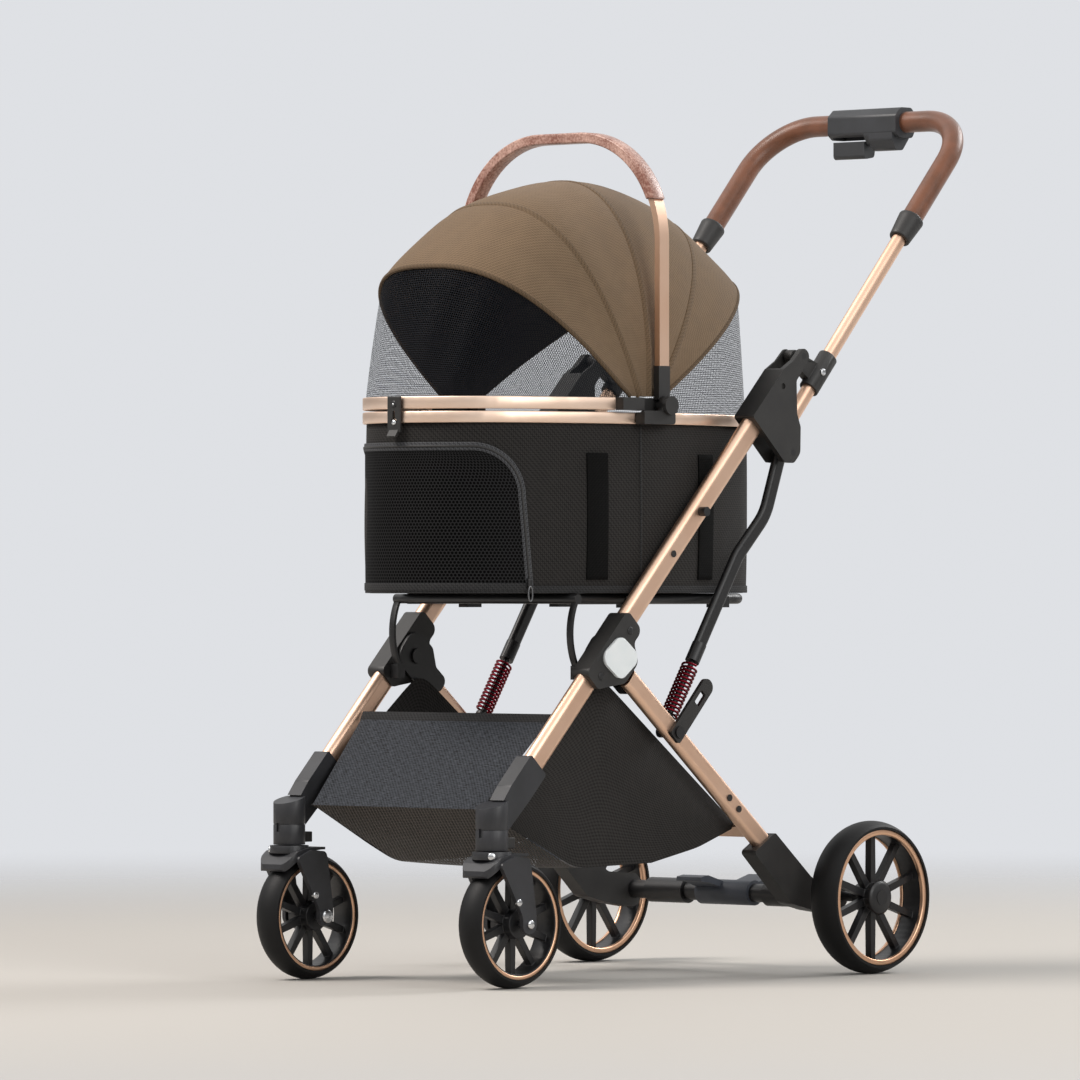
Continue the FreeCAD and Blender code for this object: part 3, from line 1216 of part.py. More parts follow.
def make_side_bracket():
    """The block clamped outside the lower rim, the lug beside it and the pivot bolt with
    its knob, which the gate, the carry handle and the canopy all turn on."""
    inner = "(cabin_width / 2 + rim_proud + 0.2)"
    block = box("bracket_block", "bracket_lug_out - " + inner, "bracket_rear_y - bracket_front_y",
                "rim_height", (inner, "bracket_front_y", "rim_z"))
    lug = body_at("bracket_lug", ("0",) + PIVOT)
    shape = new_sketch(lug, "YZ_Plane", "bracket_lug_in")
    r = S.knob_radius
    drop = S.pivot_z - S.rim_z
    outline(shape, [(S.bracket_front_y - S.pivot_y, -drop), (r, -drop), (r, r), (-r, r),
                    (-r, 2 - drop + S.rim_height), (S.bracket_front_y - S.pivot_y,
                                                    2 - drop + S.rim_height)],
            [2, 4, r * 0.9, r * 0.9, 4, 2])
    pad(lug, shape, "bracket_lug_out - bracket_lug_in")
    inner_end = "(canopy_half - 5 * (cloth + nest_gap) - 3)"
    bolt = cylinder("pivot_bolt", "pivot_bolt_radius", "bracket_lug_out - " + inner_end,
                    (inner_end,) + PIVOT)
    head = cylinder("pivot_head", "pivot_bolt_radius + 3", "2", (inner_end + " - 2",) + PIVOT)
    knob = cylinder("pivot_knob", "knob_radius", "knob_height", ("bracket_lug_out",) + PIVOT)
    return fuse("side_bracket", block, lug, bolt, head, knob)


both("side_brackets", make_side_bracket())


def make_gate_hinge():
    """The block on each end of the gate's rim and the eye that turns on the pivot bolt."""
    inner = "(cabin_width / 2 + rim_proud - rim_thickness)"
    block = box("gate_block", "gate_block_out - " + inner, "36", "gate_height",
                (inner, "gate_block_front_y + 0.1", GATE_Z))
    eye = body_at("gate_eye", ("0",) + PIVOT)
    shape = new_sketch(eye, "YZ_Plane", inner)
    r = S.pivot_bolt_radius + 5
    low = S.rim_z + S.rim_height + S.gate_gap - S.pivot_z
    front = S.gate_block_front_y + 20 - S.pivot_y
    outline(shape, [(front, low), (r, low), (r, r), (-r, r), (front, low + S.gate_height)],
            [0, 4, r * 0.9, 6, 0])
    pad(eye, shape, "gate_eye_thickness")
    hole = cylinder("gate_eye_hole", "pivot_bolt_radius + running_gap", "40",
                    ("140",) + PIVOT)
    return cut("gate_hinge", fuse("gate_hinge_whole", block, eye), hole)


both("gate_hinges", make_gate_hinge())


def make_latch():
    """The strap that hangs from the gate over the lower rim, with a keyhole for the stud."""
    front = "cabin_y - cabin_length / 2 - rim_proud - latch_gap - latch_thickness"
    top = GATE_Z + " + gate_height - latch_thickness / 2"
    strap = box("latch_strap", "latch_width", "latch_thickness", "latch_length",
                ("-latch_width / 2", front, top + " - latch_length"))
    barrel = cylinder("latch_barrel", "latch_thickness / 2", "latch_width",
                      ("-latch_width / 2", front + " + latch_thickness / 2", top))
    tongue = body_at("latch_tongue_piece", ("0", front, top + " - latch_length"))
    side = new_sketch(tongue, "YZ_Plane", "-latch_width * 0.35")
    thick, out = S.latch_thickness, S.latch_tongue
    outline(side, [(0, 3), (thick, 3), (thick, -1), (thick - out, -out - 1), (-out, -out)], 1)
    pad(tongue, side, "latch_width * 0.7")
    eye_z = GATE_Z + " + gate_height - latch_length * 0.72"
    eye = cylinder("latch_eye_hole", "latch_eye", "latch_thickness * 3",
                   ("0", front + " - latch_thickness", eye_z), Rotation(X, -90))
    slit = box("latch_slit_hole", "latch_slit", "latch_thickness * 3", "latch_length * 0.3",
               ("-latch_slit / 2", front + " - latch_thickness", eye_z))
    return cut("latch", fuse("latch_whole", strap, barrel, tongue),
               group("latch_cutters", eye, slit))


keep("latch", make_latch())


# ---------------------------------------------------------------- carry handle

def carry_path():
    z = [S.pivot_z + S.carry_socket_height - 22, S.carry_top_z]
    points = [Vector(S.carry_x, S.pivot_y - middle, z[0]),
              Vector(S.carry_x, S.pivot_y - middle, z[1]),
              Vector(-S.carry_x, S.pivot_y - middle, z[1]),
              Vector(-S.carry_x, S.pivot_y - middle, z[0])]
    return points


def carry_section(at, grow):
    one = X * (S.carry_thickness / 2 + grow)
    two = Y * (S.carry_width / 2 + grow)
    return Part.Wire([Part.makeLine(*ends) for ends in _rectangle(at, one, two)])


def make_carry_handle():
    """A rectangular tube bent to an arch across the cabin."""
    points = carry_path()
    return swept(bent_path(points, [S.carry_bend, S.carry_bend]), carry_section(points[0], 0))


def make_carry_grip():
    """The leather wrap round the top of the arch."""
    points = carry_path()
    path = bent_path(points, [S.carry_bend, S.carry_bend])
    wrap = swept(path, carry_section(points[0], S.carry_grip_wall))
    below = Part.makeBox(4 * S.carry_x, 4 * S.carry_width, S.carry_grip_z,
                         Vector(-2 * S.carry_x, points[0].y - 2 * S.carry_width, 0))
    return wrap.cut([swept(path, carry_section(points[0], 0)), below])


def make_carry_socket():
    """The moulded foot of the carry handle, which turns on the pivot bolt."""
    thick, wide = S.carry_thickness / 2 + 0.2, S.carry_width / 2 + S.carry_socket_wall
    centre = Vector(S.carry_x, S.pivot_y - middle, S.pivot_z)
    post = Part.makeBox(2 * thick, 2 * wide, S.carry_socket_height - 7,
                        centre - X * thick - Y * wide + Z * 7)
    eye = Part.makeCylinder(S.carry_eye_radius, 2 * thick, centre - X * thick, X)
    points = carry_path()
    hole = Part.Face(carry_section(points[0], S.fit_gap / 2)).extrude(Z * 60)
    bolt = Part.makeCylinder(S.pivot_bolt_radius + S.running_gap, 40, centre - X * 20, X)
    return post.fuse(eye).cut([hole, bolt]).removeSplitter()


keep("carry_handle", feature("carry_handle", make_carry_handle()))
keep("carry_grip", feature("carry_grip", make_carry_grip()))
both("carry_sockets", feature("carry_socket", make_carry_socket()))


# ---------------------------------------------------------------- canopy and nets

LAYER = "(cloth + nest_gap)"
layer = S.cloth + S.nest_gap


def turned_shell(name, number, start, sweep, foot=None):
    """A band of the canopy's form, so many layers in, turned about the pivots."""
    body = body_at(name, ("0",) + PIVOT)
    body.Placement = Placement(body.Placement.Base, Rotation(X, 1))
    body.setExpression("Placement.Rotation.Angle", formula(start))
    sketch = new_sketch(body, "XY_Plane")
    inset = layer * number
    oval(sketch, S.canopy_radius - inset, S.canopy_half - inset, S.canopy_crown - inset,
         upper=foot or S.canopy_foot, lower=S.cloth)
    revolve(body, sketch, sweep)
    return body


def make_rib(name, number, start):
    """A sprung rib: a hoop in its casing, with a flat strap down to each pivot bolt."""
    hoop = turned_shell(name + "_hoop", number, start, "rib_angle")
    pieces = [hoop]
    inset = layer * number
    half = S.canopy_half - inset
    radius = S.canopy_crown - inset
    tall = S.canopy_radius - inset
    side = (tall * tall + half * half - 2 * tall * radius) / (2 * (half - radius))
    out = half - side + math.sqrt(side ** 2 - S.canopy_foot ** 2)
    for way in (1, -1):
        strap = body_at(name + "_strap_%s" % ("left" if way > 0 else "right"), ("0",) + PIVOT)
        strap.Placement = Placement(strap.Placement.Base, Rotation(X, 1))
        strap.setExpression("Placement.Rotation.Angle", formula(start))
        low = out - S.cloth if way > 0 else -out
        sketch = new_sketch(strap, "YZ_Plane", "%.6f" % low)
        r = S.rib_strap / 2 + 1.5
        width = (S.canopy_foot + 3) * math.sin(math.radians(S.rib_angle))
        outline(sketch, [(-r, -r), (r, -r), (S.canopy_foot + 3, 0),
                         (S.canopy_foot + 3, width), (r, r), (-r, r)],
                [r * 0.9, 3, 0, 0, 3, r * 0.9])
        pad(strap, sketch, "cloth")
        pieces.append(strap)
    hole = cylinder(name + "_hole", "pivot_bolt_radius + running_gap", "400", ("-200",) + PIVOT)
    return cut(name, fuse(name + "_whole", *pieces), hole)


edges = ["brim_angle", "seam_one", "seam_two", "seam_three", "rear_edge"]
for number, edge in enumerate(edges):
    rib = "canopy_rib_%d" % (number + 1)
    keep(rib, make_rib(rib, number, edge))
for number, (edge, behind) in enumerate(zip(edges, edges[1:])):
    panel = "canopy_panel_%d" % (number + 1)
    keep(panel, turned_shell(panel, number + 1, behind + " + rib_angle",
                             "%s - %s - rib_angle" % (edge, behind)))

keep("net_rear", turned_shell("net_rear", 5, "net_rear_foot", "rear_edge - net_rear_foot"))
keep("net_front", turned_shell("net_front", 5, "brim_angle", "net_front_foot - brim_angle"))


# ---------------------------------------------------------------- checks and files

doc.recompute()
for thing in doc.Objects:
    if set(thing.State) & {"Invalid", "Error"}:
        raise RuntimeError("%s failed: %s" % (thing.Label, thing.State))
for name, thing in subparts.items():
    if thing.Shape.isNull() or not thing.Shape.isValid():
        raise RuntimeError(name + " has no valid shape")

os.makedirs("parts", exist_ok=True)
for name, thing in subparts.items():
    thing.Shape.exportStep("parts/" + name + ".step")
print(len(subparts), "sub-parts")
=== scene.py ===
import json
import math

import bmesh
import bpy
import numpy as np
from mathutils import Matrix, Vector


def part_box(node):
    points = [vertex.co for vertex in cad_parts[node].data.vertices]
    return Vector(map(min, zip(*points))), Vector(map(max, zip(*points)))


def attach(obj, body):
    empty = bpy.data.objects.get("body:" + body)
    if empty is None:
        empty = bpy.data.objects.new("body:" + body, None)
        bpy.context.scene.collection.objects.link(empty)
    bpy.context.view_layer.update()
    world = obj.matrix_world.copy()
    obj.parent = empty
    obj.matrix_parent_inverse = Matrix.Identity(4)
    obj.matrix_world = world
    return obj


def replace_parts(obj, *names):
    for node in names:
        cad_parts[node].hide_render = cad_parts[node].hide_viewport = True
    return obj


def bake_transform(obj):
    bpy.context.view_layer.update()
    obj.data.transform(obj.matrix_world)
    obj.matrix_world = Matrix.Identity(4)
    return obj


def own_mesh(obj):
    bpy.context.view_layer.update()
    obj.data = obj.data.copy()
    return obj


# A folding pet stroller, dressed over its frame: rose-gold tubes and black mouldings keep
# the frame's own shapes, and the cloth cabin, canopy, nets and basket are made here.
# Metres throughout, +Z up, the front faces -Y and the left side is at +X.

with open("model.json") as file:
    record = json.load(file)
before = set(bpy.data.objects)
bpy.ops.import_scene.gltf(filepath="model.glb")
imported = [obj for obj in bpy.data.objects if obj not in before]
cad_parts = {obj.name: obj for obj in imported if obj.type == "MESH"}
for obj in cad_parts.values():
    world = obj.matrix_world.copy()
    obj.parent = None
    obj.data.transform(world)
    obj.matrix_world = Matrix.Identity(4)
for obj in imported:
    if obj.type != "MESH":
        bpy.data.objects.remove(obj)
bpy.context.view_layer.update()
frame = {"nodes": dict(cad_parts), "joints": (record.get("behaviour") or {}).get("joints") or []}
JOINTS = {joint["name"]: joint for joint in frame["joints"]}


def joint_at(name):
    """A joint's own point."""
    return np.array(JOINTS[name]["pos_m"], float)


def corners(node):
    """The least and the greatest corner of a piece of the frame."""
    low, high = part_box(node)
    return np.array(low), np.array(high)


PIVOT = joint_at("gate_lift")
HUB = joint_at("frame_fold")
SHELL = corners("cabin_shell")
LOWER_RIM = corners("lower_rim")
UPPER_RIM = corners("upper_rim")
CABIN_Y = (SHELL[0][1] + SHELL[1][1]) / 2


# ---------------------------------------------------------------- materials

def paint(hex_colour):
    """An sRGB hex colour as the linear RGBA that a shader works in."""
    parts = np.array([int(hex_colour[i:i + 2], 16) for i in (1, 3, 5)]) / 255
    linear = np.where(parts <= 0.04045, parts / 12.92, ((parts + 0.055) / 1.055) ** 2.4)
    return (*linear.tolist(), 1.0)


def add(tree, kind, settings=None, **inputs):
    """Adds one node, with its settings and its inputs, each a value or a socket to link."""
    node = tree.nodes.new(kind)
    for name, value in (settings or {}).items():
        setattr(node, name, value)
    for name, value in inputs.items():
        name = int(name[1:]) if name[0] == "_" else name.replace("_", " ")
        if isinstance(value, bpy.types.NodeSocket):
            tree.links.new(value, node.inputs[name])
        else:
            node.inputs[name].default_value = value
    return node


def new_material(name, **surface):
    """A material with one Principled shader whose even values are set on its own sockets."""
    material = bpy.data.materials.new(name)
    material.use_nodes = True
    tree = material.node_tree
    tree.nodes.clear()
    shader = add(tree, "ShaderNodeBsdfPrincipled", **surface)
    add(tree, "ShaderNodeOutputMaterial", Surface=shader.outputs[0])
    return material, tree, shader


def spacing(metres):
    """The scale at which a Wave texture's bands stand so far apart."""
    return 2 * math.pi / 20 / metres


def tint(tree, shader, source, dark, dark_at, light, light_at):
    """Base colour that goes from the dark to the light tone between two source values."""
    ramp = add(tree, "ShaderNodeValToRGB", Fac=source)
    first, last = ramp.color_ramp.elements
    first.position, first.color = dark_at, paint(dark)
    last.position, last.color = light_at, paint(light)
    tree.links.new(ramp.outputs["Color"], shader.inputs["Base Color"])
    return ramp.outputs["Color"]


def mottle(tree, shader, light, dark, size, where):
    """Colour that drifts between two tones in patches of one size."""
    noise = add(tree, "ShaderNodeTexNoise", Vector=where, Scale=1 / size, Detail=6.0)
    tint(tree, shader, noise.outputs["Fac"], dark, 0.3, light, 0.7)


def roughen(tree, shader, source, low, high):
    """Roughness that runs from low to high with the source."""
    spread = add(tree, "ShaderNodeMapRange", Value=source, To_Min=low, To_Max=high)
    tree.links.new(spread.outputs["Result"], shader.inputs["Roughness"])


def emboss(tree, shader, height, distance, strength):
    """Fine relief, so many metres deep."""
    bump = add(tree, "ShaderNodeBump", Height=height, Distance=distance, Strength=strength)
    tree.links.new(bump.outputs["Normal"], shader.inputs["Normal"])


def grained(name, light, dark, patch, grain_scale, grain_detail, rough, relief, **surface):
    """A hard finish: tones that drift in patches, over a fine grain that both roughens and
    embosses it.  rough is (low, high), relief is (depth, strength)."""
    material, tree, shader = new_material(name, **surface)
    where = add(tree, "ShaderNodeTexCoord").outputs["Object"]
    mottle(tree, shader, light, dark, patch, where)
    grain = add(tree, "ShaderNodeTexNoise", Vector=where, Scale=grain_scale,
                Detail=grain_detail)
    roughen(tree, shader, grain.outputs["Fac"], *rough)
    emboss(tree, shader, grain.outputs["Fac"], *relief)
    return material


def satin_metal(name, light, dark, roughness):
    """Anodised aluminium or plated steel: an even satin with a very faint grain."""
    return grained(name, light, dark, 0.06, 1400.0, 3.0,
                   (roughness - 0.05, roughness + 0.07), (0.00002, 0.4), Metallic=1.0)


def moulded_plastic(name, light, dark, roughness, grit=0.0009):
    """Injection-moulded nylon or ABS with a fine spark-eroded grain."""
    return grained(name, light, dark, 0.03, 1 / grit, 2.0,
                   (roughness - 0.06, roughness + 0.1), (0.00008, 0.5), IOR=1.5)


def rubber(name, light, dark):
    """Solid moulded tyre rubber: very dark, with a dull bloom and a fine grain."""
    return grained(name, light, dark, 0.04, 900.0, 3.0, (0.45, 0.65), (0.0001, 0.4),
                   IOR=1.35)


def leather(name, light, dark, grain_size, speckle=0.02):
    """Coated leather: a pebbled grain of small cells, over tones that drift and speckle."""
    material, tree, shader = new_material(name, IOR=1.48, Sheen_Weight=0.15)
    where = add(tree, "ShaderNodeTexCoord").outputs["Object"]
    cells = add(tree, "ShaderNodeTexVoronoi", Vector=where, Scale=1 / grain_size)
    drift = add(tree, "ShaderNodeTexNoise", Vector=where, Scale=28.0, Detail=4.0)
    fleck = add(tree, "ShaderNodeTexNoise", Vector=where, Scale=1 / speckle, Detail=5.0)
    both = add(tree, "ShaderNodeMath", {"operation": "ADD"}, _0=drift.outputs["Fac"],
               _1=fleck.outputs["Fac"])
    mean = add(tree, "ShaderNodeMath", {"operation": "MULTIPLY"}, _0=both.outputs[0], _1=0.5)
    tint(tree, shader, mean.outputs[0], dark, 0.38, light, 0.62)
    roughen(tree, shader, drift.outputs["Fac"], 0.3, 0.44)
    emboss(tree, shader, cells.outputs["Distance"], 0.0003, 0.5)
    return material


def twill(name, light, dark, thread, sheen=0.02, streak=1.0, ior=1.3):
    """Woven polyester: warp and weft threads that cross in steps, so a fine slanting rib
    shows.  Threads are drawn coarser than the real half millimetre, so that they show.
    A streak above 1 draws the yarn's thick places out along the weft, and they then count
    for more than the weave."""
    material, tree, shader = new_material(name, IOR=ior, Sheen_Weight=sheen,
                                          Sheen_Roughness=0.5)
    plain = streak == 1
    weave_share, slub_share = (1.0, 0.5) if plain else (0.35, 1.3)
    where = add(tree, "ShaderNodeTexCoord").outputs["UV"]
    warp = add(tree, "ShaderNodeTexWave", {"bands_direction": "X"}, Vector=where,
               Scale=spacing(thread), Distortion=0.3)
    weft = add(tree, "ShaderNodeTexWave", {"bands_direction": "Y"}, Vector=where,
               Scale=spacing(thread), Distortion=0.3)
    slant = add(tree, "ShaderNodeTexWave", {"bands_direction": "DIAGONAL"}, Vector=where,
                Scale=spacing(thread * 1.2), Distortion=0.5)
    cross = add(tree, "ShaderNodeMath", {"operation": "MULTIPLY"}, _0=warp.outputs["Fac"],
                _1=weft.outputs["Fac"])
    weave = add(tree, "ShaderNodeMath", {"operation": "MULTIPLY_ADD"}, _0=slant.outputs["Fac"],
                _1=0.45, _2=cross.outputs[0])
    even = add(tree, "ShaderNodeMath", {"operation": "MULTIPLY"}, _0=weave.outputs[0],
               _1=weave_share)
    along = add(tree, "ShaderNodeVectorMath", {"operation": "MULTIPLY"}, _0=where,
                _1=(1.0, streak, 1.0))
    slub = add(tree, "ShaderNodeTexNoise", Vector=along.outputs[0],
               Scale=60.0 if plain else 110.0, Detail=6.0)
    tone = add(tree, "ShaderNodeMath", {"operation": "MULTIPLY_ADD"}, _0=slub.outputs["Fac"],
               _1=slub_share, _2=even.outputs[0])
    tint(tree, shader, tone.outputs[0], dark, 0.25 if plain else 0.6, light, 1.0)
    roughen(tree, shader, slub.outputs["Fac"], 0.75, 0.92)
    emboss(tree, shader, weave.outputs[0], 0.0004, 0.6)
    return material


def hexagon_holes(tree, where, pitch):
    """The distance from the nearest hole's middle, in pitches, on a lattice of hexagons."""
    nearest = []
    for shift in (0.0, 0.5):
        cell = add(tree, "ShaderNodeVectorMath", {"operation": "MULTIPLY_ADD"}, _0=where,
                   _1=(1 / pitch, 1 / pitch / math.sqrt(3), 0.0), _2=(shift, shift, 0.0))
        part = add(tree, "ShaderNodeVectorMath", {"operation": "FRACTION"}, _0=cell.outputs[0])
        off = add(tree, "ShaderNodeVectorMath", {"operation": "SUBTRACT"}, _0=part.outputs[0],
                  _1=(0.5, 0.5, 0.0))
        even = add(tree, "ShaderNodeVectorMath", {"operation": "MULTIPLY"}, _0=off.outputs[0],
                   _1=(1.0, math.sqrt(3), 0.0))
        nearest.append(add(tree, "ShaderNodeVectorMath", {"operation": "LENGTH"},
                           _0=even.outputs[0]).outputs["Value"])
    return add(tree, "ShaderNodeMath", {"operation": "MINIMUM"}, _0=nearest[0],
               _1=nearest[1]).outputs[0]


def hex_mesh(name, thread, hole, pitch, ior, roughness=0.6, open_to=None):
    """Knitted spacer mesh: hexagonal holes in a thread, painted dark inside as the shade that
    falls into them, or open out to a share of the pitch."""
    material, tree, shader = new_material(name, IOR=ior, Roughness=roughness)
    where = add(tree, "ShaderNodeTexCoord").outputs["UV"]
    distance = hexagon_holes(tree, where, pitch)
    # the dark colour in the holes is painted shade
    tone = tint(tree, shader, distance, hole, 0.3, thread, 0.46)
    emboss(tree, shader, tone, 0.0006, 0.8)
    if open_to is not None:
        solid = add(tree, "ShaderNodeMath", {"operation": "GREATER_THAN"}, _0=distance,
                    _1=open_to)
        tree.links.new(solid.outputs[0], shader.inputs["Alpha"])
    return material


def square_net(name, colour, pitch, thread):
    """Fine mosquito net: two sets of threads, with open squares between them.  The rows are
    set closer on the map, which averages them with the short ones at the net's two ends."""
    material, tree, shader = new_material(name, Roughness=0.6, Base_Color=paint(colour),
                                          IOR=1.2)
    where = add(tree, "ShaderNodeTexCoord").outputs["UV"]
    cell = add(tree, "ShaderNodeVectorMath", {"operation": "MULTIPLY"}, _0=where,
               _1=(1 / pitch, 1.6 / pitch, 1.0))
    part = add(tree, "ShaderNodeVectorMath", {"operation": "FRACTION"}, _0=cell.outputs[0])
    sides = add(tree, "ShaderNodeSeparateXYZ", _0=part.outputs[0])
    least = add(tree, "ShaderNodeMath", {"operation": "MINIMUM"}, _0=sides.outputs[0],
                _1=sides.outputs[1])
    solid = add(tree, "ShaderNodeMath", {"operation": "LESS_THAN"}, _0=least.outputs[0],
                _1=thread / pitch)
    tree.links.new(solid.outputs[0], shader.inputs["Alpha"])
    return material


ROSE_GOLD = satin_metal("anodised_aluminium_rose_gold", "#f0cdb4", "#eac3a8", 0.38)
# The rims take a paler copy of the tubes' rose gold: the paler tone is painted light, standing
# for the light on the rims' upward faces.
RIM_GOLD_PAINTED_LIGHT = satin_metal("anodised_rim_profile", "#f1d8c5", "#ebceb8", 0.42)
GOLD_RING = satin_metal("anodised_ring", "#f0c4a4", "#e6b896", 0.34)
SILVER = satin_metal("zinc_plated_steel", "#dfe1e3", "#cbcdd0", 0.22)
ZIP_METAL = satin_metal("gunmetal_zip_puller", "#77787a", "#616264", 0.4)
BLACK_STEEL = moulded_plastic("powder_coated_steel", "#1d1d1f", "#141415", 0.4, 0.0006)
NYLON = moulded_plastic("glass_filled_nylon_black", "#2a2928", "#201f1f", 0.48)
SOCKET_NYLON = moulded_plastic("glass_filled_nylon_grey", "#323337", "#27282b", 0.42)
WHEEL_NYLON = moulded_plastic("wheel_nylon", "#1f1f21", "#151517", 0.38)
TRIGGER_ABS = moulded_plastic("painted_abs_grey", "#393b3f", "#303235", 0.45)
CAP_ABS = moulded_plastic("gloss_abs_white", "#f6fbfd", "#eef5f8", 0.2, 0.002)
PEDAL_ABS = moulded_plastic("pedal_abs_slate", "#464b54", "#383c44", 0.5)
SPRING_STEEL = satin_metal("lacquered_spring_steel", "#8a2030", "#661420", 0.35)
RUBBER = rubber("solid_tyre_rubber", "#141415", "#0c0c0d")
GRIP_LEATHER = leather("coated_leather_brown", "#7f5038", "#65402c", 0.0018)
CARRY_LEATHER = leather("speckled_leather_blush", "#dbb4a5", "#8a594b", 0.0016, 0.0028)
CANOPY_TWILL = twill("khaki_twill", "#88725a", "#655340", 0.0020, 0.1)
CANOPY_BINDING = twill("khaki_binding_tape", "#6b5844", "#4e4031", 0.0024, 0.05)
# The welts are the panels' own khaki drawn darker: the darker tone is painted shade along the
# raised piping.
CANOPY_WELT_PAINTED_SHADE = twill("khaki_welt_painted_shade", "#7a654e", "#574736", 0.0024, 0.1)
LINING = hex_mesh("brown_black_mesh_lining", "#54483f", "#2a231f", 0.0036, 1.25, 0.8)
CABIN_TWILL = twill("charcoal_twill", "#333130", "#151413", 0.0026)
BASKET_TWILL = twill("charcoal_basket_twill", "#363433", "#1a1918", 0.0022)
HEM_TAPE = twill("charcoal_hem_tape", "#3a3a3b", "#1f1f20", 0.0022)
ZIP_TAPE = twill("grey_zip_tape", "#5a5b5e", "#2b2c2e", 0.0022)
VELCRO = twill("loop_strip_black", "#131313", "#040404", 0.0020, 0.0, ior=1.2)
# the door's holes are painted near black as the shade inside them
DOOR_MESH = hex_mesh("black_hex_mesh_door", "#2b2b2c", "#010101", 0.0042, 1.12)
BASKET_SLUB = twill("heathered_slub", "#4d5158", "#050607", 0.0020, streak=11.0)
BASKET_MESH = hex_mesh("taupe_hex_mesh", "#5a544f", "#171412", 0.0050, 1.3, open_to=0.22)
NET = square_net("slate_net", "#191c22", 0.0026, 0.00058)
PAD_CLOTH = twill("pad_brushed_cotton", "#55565b", "#3f4044", 0.0030)
BOARD = moulded_plastic("floor_board", "#2a2a2c", "#202022", 0.6)


# ---------------------------------------------------------------- surfaces

def lengths(grid, axis):
    """How far each row or column of a grid of points lies along it, in metres."""
    steps = np.linalg.norm(np.diff(grid, axis=axis), axis=2).mean(axis=1 - axis)
    return np.concatenate([[0.0], np.cumsum(steps)])


def surface(name, grid, material, around=False, inside=None, closed=False):
    """A sheet through a grid of points[u, v], with a UV map in metres.  around joins the
    last v to the first, closed fills the open ends, and faces point away from inside."""
    grid = np.asarray(grid, float)
    rows, columns = grid.shape[:2]
    u, v = np.meshgrid(np.arange(rows - 1), np.arange(columns if around else columns - 1),
                       indexing="ij")
    following = (v + 1) % columns
    faces = np.stack([u * columns + v, (u + 1) * columns + v, (u + 1) * columns + following,
                      u * columns + following], axis=-1).reshape(-1, 4)
    looped = np.concatenate([grid, grid[:, :1]], axis=1) if around else grid
    across = lengths(looped, 1)[np.stack([v, v, v + 1, v + 1], -1)]
    along = lengths(looped, 0)[np.stack([u, u + 1, u + 1, u], -1)]
    uv = np.stack([across, along], -1)
    mesh = bpy.data.meshes.new(name)
    mesh.from_pydata(grid.reshape(-1, 3).tolist(), [], faces.tolist())
    mesh.uv_layers.new(name="weave").data.foreach_set("uv", uv.astype(np.float32).ravel())
    piece = bpy.data.objects.new(name, mesh)
    bpy.context.scene.collection.objects.link(piece)
    if inside is not None or closed:
        shell = bmesh.new()
        shell.from_mesh(mesh)
        if closed:
            bmesh.ops.holes_fill(shell, edges=shell.edges, sides=0)
            bmesh.ops.recalc_face_normals(shell, faces=shell.faces)
        elif sum((f.calc_center_median() - Vector(inside)).dot(f.normal) * f.calc_area()
                 for f in shell.faces) < 0:
            bmesh.ops.reverse_faces(shell, faces=shell.faces)
        shell.to_mesh(mesh)
        shell.free()
    mesh.polygons.foreach_set("use_smooth", [True] * len(mesh.polygons))
    mesh.materials.append(material)
    return piece


def swept(path, profile, up):
    """A profile carried along a path: each ring lies across the path, its first direction
    square to up, its second the one nearest to up."""
    path, profile = np.asarray(path, float), np.asarray(profile, float)
    tangent = np.gradient(path, axis=0)
    tangent /= np.linalg.norm(tangent, axis=1, keepdims=True)
    up = np.broadcast_to(np.asarray(up, float), path.shape)
    side = np.cross(tangent, up)
    side /= np.linalg.norm(side, axis=1, keepdims=True)
    rise = np.cross(side, tangent)
    return (path[:, None] + side[:, None] * profile[None, :, :1]
            + rise[:, None] * profile[None, :, 1:])


def rounded_box(width, height, corner, count=6):
    """The outline of a rectangle with round corners, as points on four quarter circles."""
    turn = np.linspace(0, math.pi / 2, count)
    quarter = np.stack([np.cos(turn), np.sin(turn)], -1) * corner
    half = np.array([width / 2 - corner, height / 2 - corner])
    spin = [np.array([[c, s], [-s, c]]) for c, s in ((1, 0), (0, 1), (-1, 0), (0, -1))]
    signs = ((1, 1), (-1, 1), (-1, -1), (1, -1))
    return np.concatenate([quarter @ r + half * sign for r, sign in zip(spin, signs)])


def turned(name, profile, middle, axis, material, steps=32, hollow=False):
    """A profile of (along the axis, out from it) turned once round an axis.  A hollow one
    is a ring whose profile ends where it starts."""
    axis = np.asarray(axis, float)
    one = np.cross(axis, (0, 0, 1.0)) if abs(axis[2]) < 0.9 else np.array([1.0, 0, 0])
    one /= np.linalg.norm(one)
    two = np.cross(axis, one)
    angle = np.linspace(0, 2 * math.pi, steps, endpoint=False)
    out = np.cos(angle)[:, None] * one + np.sin(angle)[:, None] * two
    profile = np.asarray(profile, float)
    grid = (np.asarray(middle, float) + profile[:, None, :1] * axis
            + profile[:, None, 1:] * out[None])
    piece = surface(name, grid, material, around=True, closed=not hollow)
    if hollow:
        ring = bmesh.new()
        ring.from_mesh(piece.data)
        bmesh.ops.remove_doubles(ring, verts=ring.verts, dist=0.000001)
        bmesh.ops.recalc_face_normals(ring, faces=ring.faces)
        ring.to_mesh(piece.data)
        ring.free()
    return piece


def soften(piece, width):
    """Rounds the edges of a moulded piece, after its loose triangles are welded."""
    weld = piece.modifiers.new("weld", "WELD")
    weld.merge_threshold = 0.00001
    bevel = piece.modifiers.new("edges", "BEVEL")
    bevel.width, bevel.segments = width, 2
    bevel.limit_method, bevel.angle_limit = "ANGLE", math.radians(35)
    bevel.harden_normals = True


def finish_node(node, material, width=None):
    """Gives a piece of the frame its material and, with a width, rounded edges."""
    piece = frame["nodes"][node]
    piece.data.materials.clear()
    piece.data.materials.append(material)
    if width:
        soften(piece, width)


# ---------------------------------------------------------------- frame finishes

